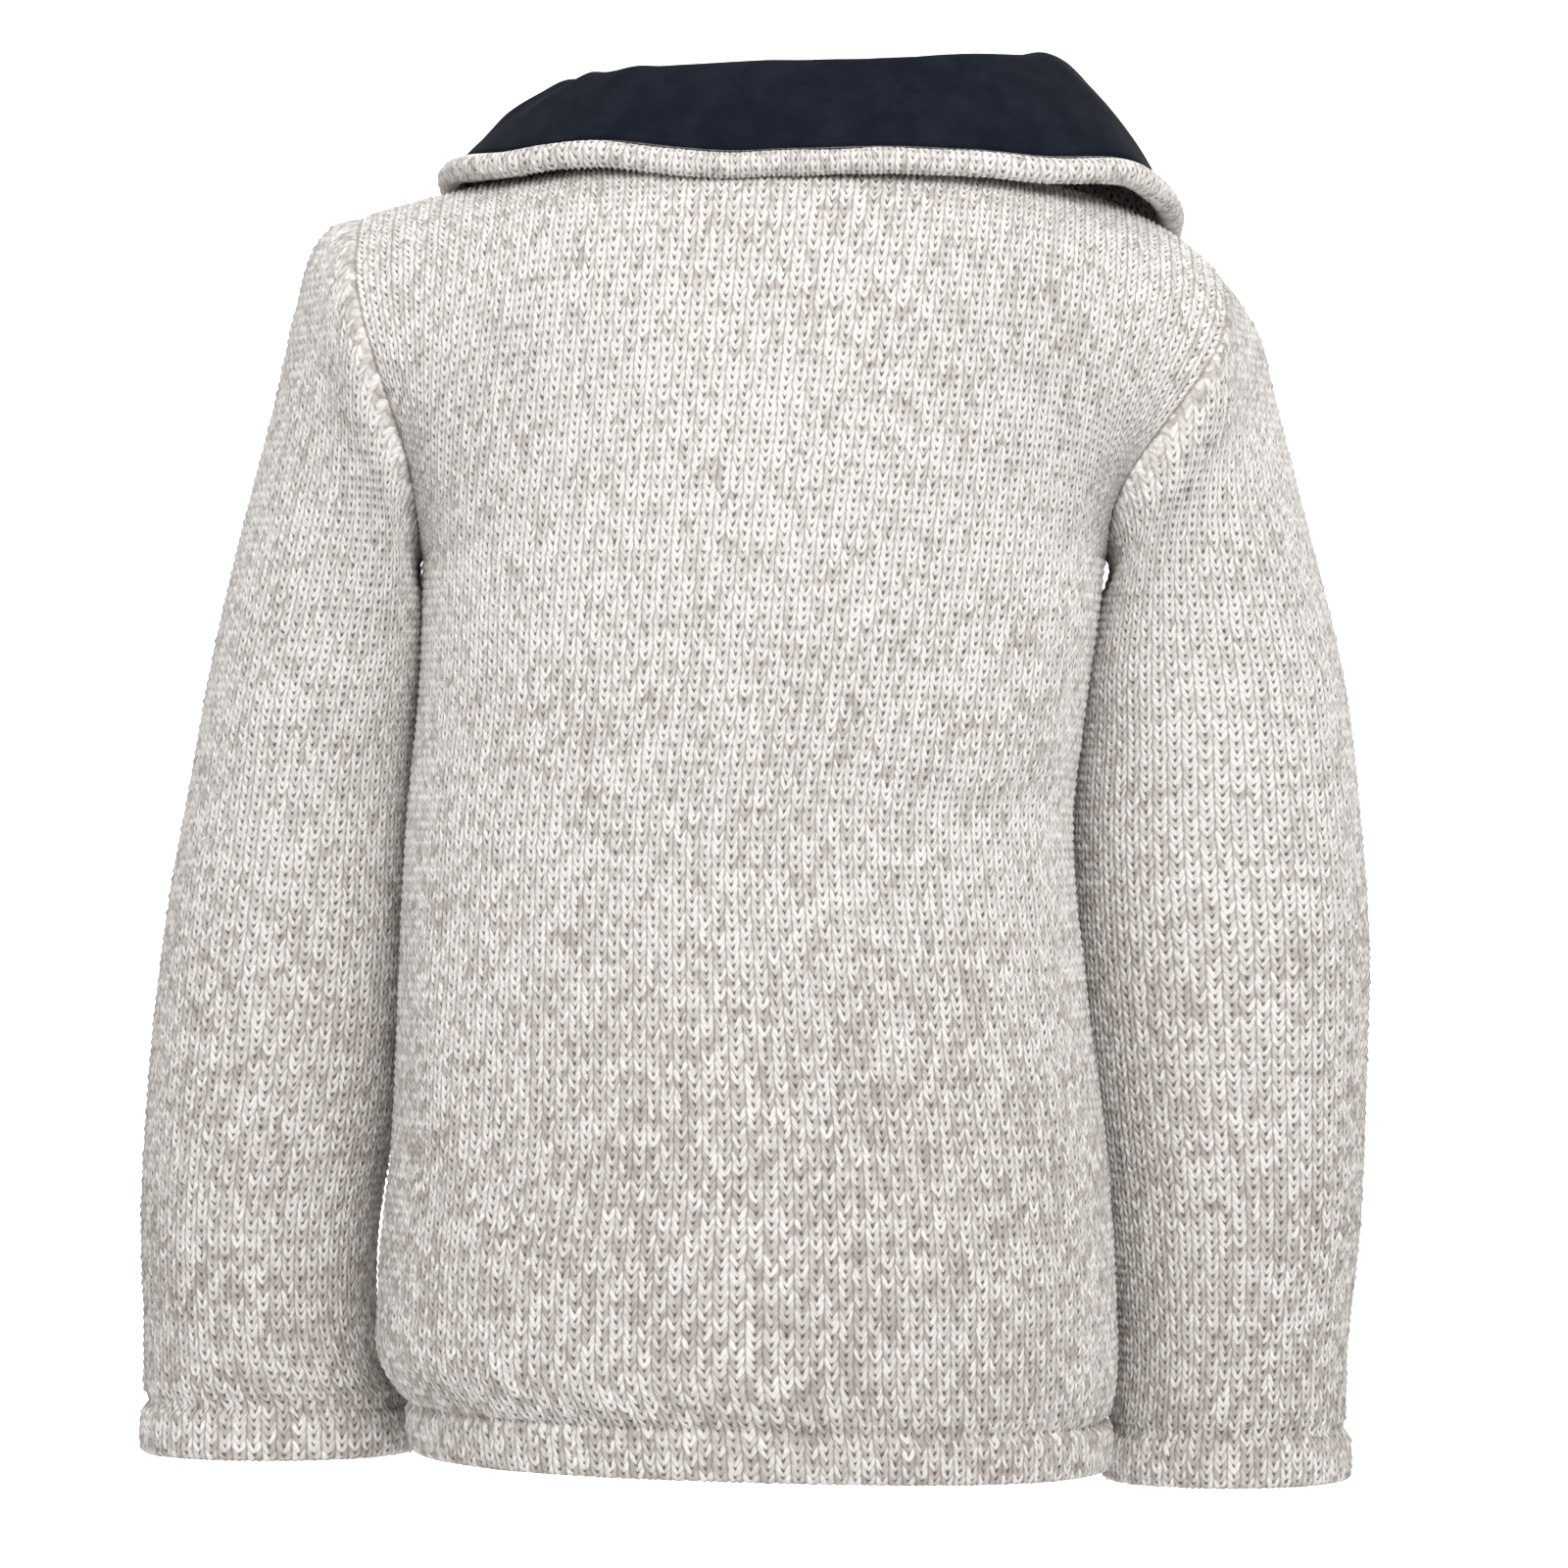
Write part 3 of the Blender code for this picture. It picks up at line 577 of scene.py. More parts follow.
def knit_relief(across, along, settings):
    """Height of the knit's legs over its ground, in millimetres."""
    leg = 0.5 - 0.5 * np.cos(4 * math.pi * across)
    row = np.cos(2 * math.pi * along)
    middle = (0.5 - 0.5 * np.cos(2 * math.pi * across)) * (1 - leg)
    legs = (leg - 0.5) * settings.leg_height + leg * row * settings.stitch_height
    return (legs - middle * (0.5 - 0.9 * row) * settings.hole_depth) / MM


def hem_turn(across, along, under):
    """How deep a turned-up hem's knit lies: its inner layer, its stitch line and its puffed band."""
    pucker = HEM_STITCH * (1 + 0.45 * np.cos(math.pi * across))
    pucker = pucker * np.exp(-(((along - under) / 0.42) ** 2))
    puff = HEM_PUFF * np.exp(-(((along - 0.5 * under) / (0.4 * under)) ** 2))
    return HEM_WALL * (1 - ease(along + 0.5)) + np.where(along < 0, 0.0, pucker - puff)


def knit_piece(name, surface, span, wales, seed, thick, under=0, lines=(), even=True):
    """A panel of stockinette on a surface, its lower edge turned up inside by a number of rows.

    An even panel has the same rows in each column; another one is clipped at its top seam, and its relief
    and painted gap shade fade towards it, where painted seam shade greys the wool.
    """
    settings = bpy.context.scene.cardigan_knit
    row_height = settings.row / MM
    columns = 4 * wales + 3
    u = np.clip(np.arange(columns) - 1, 0, 4 * wales) / 4
    across = EDGE_INSET + (1 - 2 * EDGE_INSET) * u / wales
    fine, runs = column_runs(surface, across, span)
    total = runs[-1]
    rows = int(round(total.max() / row_height))
    height = total / rows if even else np.full_like(total, row_height)
    v = np.arange(2 * (rows + under) + 2) / 2 - under
    uu, vv = np.meshgrid(u, v)
    top = total / height
    left = top - vv
    past = left < SEAM_SNAP
    rims = past & (left < -0.01)
    rims[:, 1:] &= past[:, :-1]
    rims[:, :-1] &= past[:, 1:]
    rims[1:] &= past[:-1]
    vv = np.where(past, top, vv)
    left = np.where(past, 0.0, left)
    inside = np.where(vv < 0, -1.0, 1.0)
    whole = np.tile(across, (len(v), 1))
    flat = np.minimum(np.abs(vv), top) * height
    base = surface(whole, levels_at(fine, runs, flat))
    cross = np.cross(np.gradient(base, axis=1), np.gradient(base, axis=0))
    outward = carry(unit(cross) * inside[..., None], np.linalg.norm(cross, axis=-1) < 1e-5)
    rng = np.random.default_rng(seed)
    calm = np.clip(np.abs(vv) / 2, 0, 1) * np.clip(left / 1.5, 0, 1)
    sway = soft_noise(rng, uu / 9, vv / 12) * 0.25 + settings.slope * np.cos(2 * math.pi * uu)
    at = np.minimum(np.abs(vv + sway * calm), top) * height
    points = folds(surface(whole, levels_at(fine, runs, at)), outward, lines)
    edge = np.minimum(uu, wales - uu) * total.mean() / rows * WALE_TO_ROW
    rise = left * height
    dip = np.exp(-((edge / SEAM_WIDTH) ** 2)) + np.exp(-((rise / SEAM_WIDTH) ** 2))
    vary = 1 + 0.32 * rng.standard_normal((len(v) // 2 + 1, wales + 1))
    vary = vary[(np.arange(len(v)) // 2)[:, None], np.minimum(uu, wales - 0.01).astype(int)]
    vary = vary * np.clip(edge / 2, 0.2, 1) * np.clip(left / 4, 0, 1)
    gone = rims.copy()
    rims[:, [0, -1]] = True
    lift = knit_relief(uu, vv, settings) * vary * inside - (hem_turn(uu, vv, under) if under else 0.0)
    lift = lift - np.where(vv < 0, 0.0, SEAM_DIP * dip + thick * rims)
    points = points + outward * lift[..., None]
    coords = np.stack([uu + seed * 40.0, vv + seed * 9.0], -1)
    # clear rises away from the top seam: the painted seam shade fades out and the painted gap shade comes
    # back
    clear = 1.0 if even else np.clip(rise / SEAM_CALM, 0.3, 1.0)
    return finish_mesh(name, points, coords, gone, clear)


def carry(vectors, bad):
    """Fills the vectors of folded-up grid points from the row below."""
    for row in range(1, len(vectors)):
        vectors[row] = np.where(bad[row][:, None], vectors[row - 1], vectors[row])
    return vectors


def between(table, i, j, s, t):
    """A table's values inside its cells i and j, at the shares s and t of them."""
    low = table[j, i] * (1 - s) + table[j, i + 1] * s
    high = table[j + 1, i] * (1 - s) + table[j + 1, i + 1] * s
    return low * (1 - t) + high * t


def soft_noise(rng, x, y):
    """Smooth random values from -1 to 1 over a grid, one unit to a wave."""
    knots = rng.uniform(-1, 1, (int(y.max() - y.min()) + 3, int(x.max() - x.min()) + 3))
    x = x - x.min()
    y = y - y.min()
    i, j = x.astype(int), y.astype(int)
    return between(knots, i, j, ease(x - i), ease(y - j))


def fleece_piece(name, surface, span, start, seed, lines):
    """A fleece layer inside a panel's wall, facing the wearer, from a length up its columns."""
    columns, rows = FLEECE_POINTS
    across = np.linspace(1 - EDGE_INSET, EDGE_INSET, columns)
    fine, runs = column_runs(surface, across, span)
    flat = start + np.linspace(0, 1, rows)[:, None] * (runs[-1] - start)
    base = surface(np.tile(across, (rows, 1)), levels_at(fine, runs, flat))
    normals = normals_of(base)
    uu, vv = np.meshgrid(np.arange(columns) / 4, np.arange(rows) / 4)
    nap = soft_noise(np.random.default_rng(seed), uu, vv) * 0.5
    points = folds(base + normals * (WALL + nap)[..., None], -normals, lines)
    return finish_mesh(name, points, np.stack([uu, vv], -1))


class Wiring:
    """Adds nodes to one tree and joins them."""

    def __init__(self, tree):
        self.tree = tree

    def node(self, kind, **facts):
        """A new node with its settings."""
        made = self.tree.nodes.new(kind)
        for name, value in facts.items():
            setattr(made, name, value)
        return made

    def feed(self, socket, value):
        """Joins a socket to another one, or sets its constant."""
        if isinstance(value, bpy.types.NodeSocket):
            self.tree.links.new(value, socket)
        else:
            socket.default_value = value

    def fill(self, node, **values):
        """Feeds a node's inputs by their names, with _ for a space, and returns the node."""
        for name, value in values.items():
            self.feed(node.inputs[name.replace("_", " ")], value)
        return node

    def line(self, node, *values):
        """Feeds a node's inputs in their order, and returns the node."""
        for socket, value in zip(node.inputs, values):
            self.feed(socket, value)
        return node

    def place(self):
        """Coordinates on the object."""
        return self.node("ShaderNodeTexCoord").outputs["Object"]

    def split(self, vector):
        """The three parts of a vector."""
        return self.line(self.node("ShaderNodeSeparateXYZ"), vector).outputs

    def maths(self, operation, *values):
        """The result of a maths node."""
        return self.line(self.node("ShaderNodeMath", operation=operation), *values).outputs[0]

    def vectors(self, operation, *values):
        """The result of a vector maths node."""
        return self.line(self.node("ShaderNodeVectorMath", operation=operation), *values).outputs[0]

    def noise(self, vector, scale, detail=2.0, roughness=0.5, stretch=None):
        """Noise from 0 to 1 at a vector, which may be stretched on each axis."""
        if stretch is not None:
            vector = self.vectors("MULTIPLY", vector, stretch)
        made = self.node("ShaderNodeTexNoise")
        self.fill(made, Vector=vector, Scale=scale, Detail=detail, Roughness=roughness)
        return made.outputs["Fac"]

    def remap(self, value, low, high, to_low=0.0, to_high=1.0):
        """A value moved from one range to another, held inside it."""
        made = self.node("ShaderNodeMapRange", interpolation_type="SMOOTHSTEP")
        return self.line(made, value, low, high, to_low, to_high).outputs[0]

    def blend(self, share, first, second):
        """Two colours mixed by a share."""
        made = self.node("ShaderNodeMix", data_type="RGBA")
        self.feed(made.inputs["Factor"], share)
        self.feed(made.inputs[6], first)
        self.feed(made.inputs[7], second)
        return made.outputs[2]

    def group(self, tree, **values):
        """A placed node group with its own values."""
        return self.fill(self.node("ShaderNodeGroup", node_tree=tree), **values).outputs

    def bump(self, height, depth, strength, **normal):
        """A bumped normal, over another one if it is given."""
        made = self.node("ShaderNodeBump")
        self.fill(made, Height=height, Distance=depth, Strength=strength, **normal)
        return made.outputs["Normal"]


def new_group(name, inputs, outputs):
    """A shader node group that turns the named vectors into the named values."""
    tree = bpy.data.node_groups.new(name, "ShaderNodeTree")
    for title in inputs:
        tree.interface.new_socket(title, in_out="INPUT", socket_type="NodeSocketVector")
    for title in outputs:
        tree.interface.new_socket(title, in_out="OUTPUT", socket_type="NodeSocketFloat")
    wires = Wiring(tree)
    return tree, wires, wires.node("NodeGroupInput").outputs, wires.node("NodeGroupOutput")


def stitch_group():
    """Knit legs, and masks for painted shade in the hole and slit inside each stitch and the gap between
    rows, from a map in stitches.
    """
    tree, wires, given, out = new_group("Stitches", ("Vector",), ("Height", "Hole", "Slit", "Stitch"))
    uneven = wires.fill(wires.node("ShaderNodeTexNoise"), Vector=given["Vector"], Scale=0.85)
    pull = wires.vectors("MULTIPLY_ADD", uneven.outputs["Color"], (0.42, 0.6, 0.0), (-0.21, -0.3, 0.0))
    across, along, _ = wires.split(wires.vectors("ADD", given["Vector"], pull))
    turned = wires.maths("COSINE", wires.maths("MULTIPLY", across, 4 * math.pi))
    leg = wires.maths("MULTIPLY_ADD", turned, -0.5, 0.5)
    rowed = wires.maths("COSINE", wires.maths("MULTIPLY", along, 2 * math.pi))
    row = wires.maths("MULTIPLY_ADD", rowed, 0.5, 0.5)
    height = wires.maths("MULTIPLY", leg, wires.maths("MULTIPLY_ADD", row, 0.5, 0.5))
    turn = wires.maths("COSINE", wires.maths("MULTIPLY", across, 2 * math.pi))
    # Masks for painted shade: the hole inside each stitch, the slit between its legs and the gap between
    # rows
    low_row = wires.remap(row, 0.62, 0.08)
    hole = wires.maths("MULTIPLY", wires.remap(turn, -0.45, -1.0), low_row)
    deeper = wires.maths("MULTIPLY_ADD", low_row, 0.3, 0.7)
    slit = wires.maths("MULTIPLY", wires.remap(turn, 0.78, 1.0), deeper)
    gap = wires.maths("MULTIPLY", wires.remap(row, 0.13, 0.0), 0.5)
    slit = wires.maths("MAXIMUM", slit, gap)
    leg_number = wires.maths("FLOOR", wires.maths("MULTIPLY", across, 2.0))
    cell = wires.line(wires.node("ShaderNodeCombineXYZ"), leg_number, wires.maths("ROUND", along))
    white = wires.node("ShaderNodeTexWhiteNoise", noise_dimensions="2D")
    wires.fill(white, Vector=cell.outputs[0])
    wires.fill(out, Height=height, Hole=hole, Slit=slit, Stitch=white.outputs["Value"])
    return tree


def heather_group():
    """Uneven wool: streaks along the rows, broad blotches and single dark fibres."""
    tree, wires, given, out = new_group("Heather", ("Vector", "Place"), ("Tone", "Fleck", "Fibre"))
    vector, place = given["Vector"], given["Place"]
    streak = wires.noise(vector, 1.0, 4.0, 0.6, (0.24, 0.85, 1.0))
    fine = wires.noise(vector, 1.0, 3.0, 0.6, (0.9, 1.3, 1.0))
    blotch = wires.noise(place, 1.0, 3.0, 0.5, (6.0, 6.0, 11.0))
    sum_one = wires.maths("ADD", wires.maths("MULTIPLY", streak, 0.4), wires.maths("MULTIPLY", fine, 0.42))
    tone = wires.maths("ADD", sum_one, wires.maths("MULTIPLY", blotch, 0.18))
    hair = wires.noise(vector, 2.0, 2.0, 0.6, (3.2, 1.6, 1.0))
    fibre = wires.noise(vector, 1.6, 4.0, 0.7, (14.0, 5.0, 1.0))
    wires.fill(out, Tone=wires.remap(tone, 0.33, 0.66), Fleck=wires.remap(hair, 0.60, 0.72), Fibre=fibre)
    return tree


def pile_group():
    """Short fleece pile with brushed patches."""
    tree, wires, given, out = new_group("Pile", ("Place",), ("Height", "Patch"))
    place = given["Place"]
    tuft = wires.noise(place, 1100.0, 3.0, 0.65)
    lie = wires.noise(place, 160.0, 3.0, 0.6, (1.0, 1.0, 2.2))
    height = wires.maths("ADD", wires.maths("MULTIPLY", tuft, 0.7), wires.maths("MULTIPLY", lie, 0.6))
    wires.fill(out, Height=height, Patch=wires.remap(wires.noise(place, 55.0, 4.0, 0.6), 0.35, 0.68))
    return tree


def new_material(name, roughness, sheen=0.0, specular=0.25):
    """A material with its shader's constants set."""
    made = bpy.data.materials.new(name)
    made.use_nodes = True
    wires = Wiring(made.node_tree)
    shader = made.node_tree.nodes["Principled BSDF"]
    wires.fill(shader, Roughness=roughness, Metallic=0.0, Specular_IOR_Level=specular)
    wires.fill(shader, Sheen_Weight=sheen, Sheen_Roughness=0.6)
    return made, wires, shader


def knit_material(groups):
    """Undyed heather wool in stockinette, with painted shade in its holes and gaps, beside its top seams and
    towards the bottom.
    """
    settings = bpy.context.scene.cardigan_knit
    made, wires, shader = new_material("wool_knit", 0.92, 0.12)
    uv = wires.node("ShaderNodeUVMap", uv_map="stitches").outputs[0]
    place = wires.place()
    stitch = wires.group(groups["stitch"], Vector=uv)
    heather = wires.group(groups["heather"], Vector=uv, Place=place)
    # Painted shade: the wool turns greyer towards the bottom, where less light falls from above
    low = wires.remap(wires.split(place)[2], -0.22, -0.62, 0.0, 0.30)
    spread = wires.maths("MULTIPLY_ADD", stitch["Stitch"], 0.8, -0.4)
    tone = wires.maths("MULTIPLY_ADD", heather["Tone"], -0.62, 0.62)
    clear = wires.node("ShaderNodeAttribute", attribute_name="clear").outputs["Fac"]
    # Painted shade: the wool turns greyer beside the top seams, where clear is low
    wear_and_seam_shade = wires.maths("MULTIPLY_ADD", clear, -0.45, 0.45)
    tone = wires.maths("ADD", wires.maths("ADD", tone, spread), wires.maths("ADD", low, wear_and_seam_shade))
    colour = wires.blend(wires.remap(tone, 0.0, 1.25), tuple(settings.light), tuple(settings.grey))
    # Dark fibres are the wool's own colour; holes, slits and row gaps get painted shade, fainter beside the
    # seams
    dark = wires.maths("MULTIPLY", heather["Fleck"], 0.45)
    hole = wires.maths("MULTIPLY", stitch["Hole"], 0.9)
    slit = wires.maths("MULTIPLY", stitch["Slit"], 0.66)
    marks = wires.maths("MULTIPLY", wires.maths("MAXIMUM", hole, slit), clear)
    shade = wires.maths("MAXIMUM", dark, marks)
    colour = wires.blend(shade, colour, tuple(settings.dark))
    fibre = wires.bump(heather["Fibre"], 0.0006, 0.6)
    legs = wires.bump(stitch["Height"], 0.0010, 0.7, Normal=fibre)
    wires.fill(shader, Base_Color=colour, Normal=legs)
    return made


def fleece_material(groups):
    """Navy fleece."""
    settings = bpy.context.scene.cardigan_fleece
    made, wires, shader = new_material("navy_fleece", 0.95, 0.015, 0.06)
    pile = wires.group(groups["pile"], Place=wires.place())
    colour = wires.blend(pile["Patch"], tuple(settings.colour), tuple(settings.wear_and_seam_shade))
    wires.fill(shader, Base_Color=colour, Normal=wires.bump(pile["Height"], 0.0007, 0.8))
    return made


def button_material():
    """Turned horn, banded and polished."""
    settings = bpy.context.scene.cardigan_button
    made, wires, shader = new_material("button_horn", 0.35)
    place = wires.place()
    band = wires.noise(place, 90.0, 4.0, 0.6, (1.0, 1.0, 3.5))
    colour = wires.blend(wires.remap(band, 0.4, 0.66), tuple(settings.colour), tuple(settings.pale))
    grain = wires.bump(wires.noise(place, 900.0), 0.0001, 0.4)
    wires.fill(shader, Base_Color=colour, Roughness=wires.remap(band, 0.3, 0.7, 0.28, 0.45), Normal=grain)
    return made


def thread_material():
    """Sewing thread, twisted."""
    made, wires, shader = new_material("sewing_thread", 0.8, 0.1)
    twist = wires.noise(wires.place(), 2600.0)
    colour = wires.blend(twist, (0.30, 0.27, 0.23, 1), (0.52, 0.48, 0.42, 1))
    wires.fill(shader, Base_Color=colour, Normal=wires.bump(twist, 0.0002, 0.8))
    return made


def table_surface(table):
    """A surface read from a grid of points, both ways from 0 to 1."""
    rows, cols = table.shape[:2]

    def surface(across, level):
        x = np.clip(across, 0, 1) * (cols - 1)
        y = np.clip(level, 0, 1) * (rows - 1)
        i = np.minimum(x.astype(int), cols - 2)
        j = np.minimum(y.astype(int), rows - 2)
        return between(table, i, j, (x - i)[..., None], (y - j)[..., None])

    return surface


def halves(first, back, share, along, level):
    """A surface over both sides of the trunk, from the first side to the other one."""
    sides = [panel(side, back, along, level) for side in (first, -first)]
    return np.where((share < 0.5)[..., None], *sides)


def outwards(side, share):
    """Across a piece from 0 to 2, in the order that faces its columns outwards."""
    return 2 - 2 * share if side > 0 else 2 * share


def back_surface(share, level):
    """The whole back, from the left side seam to the right one."""
    along = 2 - np.abs(4 * share - 2)
    return halves(1, True, share, along, level)


def front_surface(side):
    """One front as it hangs on the wearer."""
    return lambda share, level: panel(side, False, outwards(side, share), level)


def sleeve_surface(side):
    """One sleeve from the cuff up."""
    return lambda share, level: sleeve(side, outwards(side, share), SLEEVE_TOP - level)


def collar_table(first, grid):
    """The collar's knit face as a grid of points, its turns from the first one to the opposite."""
    columns = []
    for turn in np.linspace(first, -first, grid[0]):
        points = np.array(collar_profile(turn))
        run = run_along(points)
        at = np.linspace(0, run[-1], grid[1])
        columns.append(np.stack([smooth(at, run, points[:, axis]) for axis in range(3)], -1))
    return np.array(columns).transpose(1, 0, 2)


def roll_table():
    """The tube of the edge roll, from its hidden seam round to it again."""
    rng = np.random.default_rng(5)
    turns = np.linspace(-180, 180, ROLL_GRID[0])
    ring = []
    for turn in turns:
        edge = collar_measures(turn)[2]
        ring.append(around_neck(turn, edge[0], edge[1], 1.0))
    path = np.array(ring)
    ahead = unit(np.gradient(path, axis=0))
    out = unit(np.cross([0, 0, 1.0], ahead)) * -1.0
    up = unit(np.cross(out, ahead))
    up = up * np.sign(up[:, 2:])
    from_end = (1 - np.abs(np.linspace(-1, 1, len(turns)))) * len(turns) / 2
    closing = np.sqrt(np.clip(from_end / 3.0, 0.0, 1.0))
    around = ROLL_SEAM + np.linspace(0, 2 * math.pi, ROLL_GRID[1])
    tt, aa = np.meshgrid(np.arange(len(turns)) / 9, around)
    radius = EDGE_ROLL_RADIUS * closing * (1.0 + 0.07 * soft_noise(rng, tt, aa / 3))
    spin = np.cos(around)[:, None, None] * out + np.sin(around)[:, None, None] * up
    return path + radius[..., None] * spin


def dress(piece, slot, look, *nodes):
    """Gives a piece its body and its material, and hides the CAD nodes that it stands for; its slot is not
    used.
    """
    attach(piece, "root")
    piece.data.materials.append(looks()[look])
    if nodes:
        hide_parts(*nodes)


def button_place(number):
    """Where a button lies on the band, which way it faces, and the turn that faces it so."""
    height = BUTTON_TOP_Z + (BUTTON_LOW_Z - BUTTON_TOP_Z) * number / (BUTTON_COUNT - 1)
    levels = np.linspace(0, BAND_TOP, 400)
    shares, rises = np.meshgrid(np.array([0.45, 0.5, 0.55]), levels)
    grid = band_surface(shares, rises)
    normals = normals_of(grid)[:, 1]
    grid = grid[:, 1] + normals * (SEAM + BAND_WALL)
    point = [float(np.interp(height, grid[:, 2], grid[:, axis])) for axis in range(3)]
    normal = [float(np.interp(height, grid[:, 2], normals[:, axis])) for axis in range(3)]
    normal = Vector(normal).normalized()
    return Vector(point), normal, normal.to_track_quat("Z", "Y").to_matrix()


def band_surface(share, level):
    """The fronts' middle, from the wearer's right to the left, under the button band."""
    along = 2 - (2 - BAND_FROM) * np.abs(2 * share - 1)
    return halves(-1, False, share, along, level)


def strand(points, radius, name):
    """A thread along points, in millimetres, as a tube."""
    curve = bpy.data.curves.new(name, "CURVE")
    curve.dimensions = "3D"
    curve.bevel_depth = radius * MM
    curve.bevel_resolution = 2
    curve.use_fill_caps = True
    for line in points:
        path = curve.splines.new("POLY")
        path.points.add(len(line) - 1)
        for point, place in zip(path.points, line):
            point.co = (*(Vector(place) * MM), 1.0)
    data = evaluated(placed(name, curve))
    data.name = name
    data.shade_smooth()
    return placed(name, data)


def button_mesh(settings):
    """A four-hole button with a raised rim, flat in XY, in millimetres."""
    radius, thick = BUTTON_RADIUS, BUTTON_THICK
    profile = (
        (0, -thick / 2), (radius - 3, -thick / 2), (radius - 0.8, -thick / 2 + 0.7), (radius, 0),
        (radius - 0.4, thick / 2 - 0.6), (radius - 1.3, thick / 2), (radius - 2.4, thick / 2 - 0.3),
        (radius - 3.6, thick / 2 - 1.1), (radius - 6, thick / 2 - 1.4), (0, thick / 2 - 1.5),
    )
    mesh = bmesh.new()
    line = [mesh.verts.new((across, 0, up)) for across, up in profile]
    edges = [mesh.edges.new(pair) for pair in zip(line, line[1:])]
    bmesh.ops.spin(
        mesh, geom=line + edges, cent=(0, 0, 0), axis=(0, 0, 1), angle=2 * math.pi, steps=48, use_merge=True,
        use_duplicate=False,
    )
    bmesh.ops.remove_doubles(mesh, verts=mesh.verts, dist=0.001)
    bmesh.ops.recalc_face_normals(mesh, faces=mesh.faces)
    body = baked(mesh, "button_body")
    holes = bmesh.new()
    reach = settings.hole_gap / MM / 2
    wide = settings.hole / MM / 2
    for across in (-reach, reach):
        for up in (-reach, reach):
            made = bmesh.ops.create_cone(
                holes, cap_ends=True, segments=20, radius1=wide, radius2=wide, depth=3 * thick,
            )
            bmesh.ops.translate(holes, verts=made["verts"], vec=(across, up, 0))
    block = placed("bored", body)
    drill = placed("drill", baked(holes, "button_holes"))
    cut = block.modifiers.new("holes", "BOOLEAN")
    cut.object = drill
    cut.operation = "DIFFERENCE"
    cut.solver = "EXACT"
    made = evaluated(block)
    bpy.data.objects.remove(drill, do_unlink=True)
    return made


def length(title, text, value):
    """A setting in metres."""
    return bpy.props.FloatProperty(name=title, description=text, default=value, unit="LENGTH")


def tint(title, text, *colour):
    """A setting for a colour."""
    return bpy.props.FloatVectorProperty(
        name=title, description=text, default=(*colour, 1.0), size=4, subtype="COLOR"
    )


class CARDIGAN_PG_knit(bpy.types.PropertyGroup):
    """The outer knit's gauge and wool."""

    row: length("Row height", "Height of one row of stitches", 0.00478)
    leg_height: length("Leg height", "Rise of a stitch's legs", 0.0011)
    stitch_height: length("Stitch height", "Rise of a stitch over the next one", 0.00035)
    hole_depth: length("Hole depth", "Depth of the hole inside each stitch", 0.0006)
    slope: bpy.props.FloatProperty(
        name="Stitch slope", description="Rows by which a stitch's legs rise outwards", default=0.55,
        subtype="FACTOR",
    )
    light: tint("Light wool", "Colour of the lightest yarn", 0.935, 0.897, 0.862)
    grey: tint("Grey wool", "Colour of the greyest yarn", 0.425, 0.372, 0.335)
    # dark is the colour of the dark fibres and also of the painted shade in the holes and gaps
    dark: tint("Dark fibres and gap shade", "Colour of dark fibres and of the gaps", 0.105, 0.087, 0.078)


class CARDIGAN_PG_fleece(bpy.types.PropertyGroup):
    """The bonded fleece."""

    colour: tint("Fleece", "Colour of the fleece", 0.0071, 0.0094, 0.0165)
    wear_and_seam_shade: tint("Brushed fleece", "Colour where the pile is brushed", 0.0116, 0.0146, 0.0235)


class CARDIGAN_PG_button(bpy.types.PropertyGroup):
    """The front buttons."""

    hole: length("Hole", "Width of a button's holes", 0.0024)
    hole_gap: length("Hole spacing", "Distance between a button's holes", 0.0054)
    colour: tint("Horn", "Colour of the horn", 0.10, 0.06, 0.035)
    pale: tint("Pale horn", "Colour of the horn's bands", 0.32, 0.22, 0.13)


class CARDIGAN_PG_stage(bpy.types.PropertyGroup):
    """The studio."""

    floor: tint("Floor", "Colour of the floor and backdrop", 0.92, 0.92, 0.92)
    key: bpy.props.FloatProperty(
        name="Key light", description="Power of the key light", default=58.0, unit="POWER"
    )
    lens: bpy.props.FloatProperty(
        name="Lens", description="Focal length of the camera in millimetres", default=127.4
    )


def looks():
    """The materials by name, built once."""
    if "wool_knit" not in bpy.data.materials:
        groups = {"stitch": stitch_group(), "heather": heather_group(), "pile": pile_group()}
        knit_material(groups)
        fleece_material(groups)
        button_material()
        thread_material()
    return bpy.data.materials


def lined(name, kind, surface, top, seed, lines):
    """A panel's knit with its fleece inside, from the hem or cuff up."""
    span = (0, top)
    wales = WALES[kind]
    knit = knit_piece(f"{name}_knit", surface, span, wales, seed, WALL, HEM_ROWS, lines, even=False)
    dress(knit, "knit", "wool_knit", name)
    start = (HEM_ROWS - 1) * bpy.context.scene.cardigan_knit.row / MM
    fleece = fleece_piece(f"{name}_fleece", surface, span, start, seed, lines)
    dress(fleece, "fleece", "navy_fleece")


class CARDIGAN_OT_body(bpy.types.Operator):
    """Build the back and the two fronts, knit outside and fleece inside"""

    bl_idname = "cardigan.body"
    bl_label = "Body"

    def execute(self, context):
        lined("back", "back", back_surface, 2, 1, BACK_FOLDS)
        for side, word in SIDES:
            lined(f"front_{word}", "front", front_surface(side), 2, 2 - side, FRONT_FOLDS[side])
        return {"FINISHED"}


class CARDIGAN_OT_sleeves(bpy.types.Operator):
    """Build both sleeves, knit outside and fleece inside"""

    bl_idname = "cardigan.sleeves"
    bl_label = "Sleeves"

    def execute(self, context):
        for side, word in SIDES:
            tube = sleeve_surface(side)
            lined(f"sleeve_{word}", "sleeve", tube, SLEEVE_TOP, 5 - side, SLEEVE_FOLDS[side])
        return {"FINISHED"}


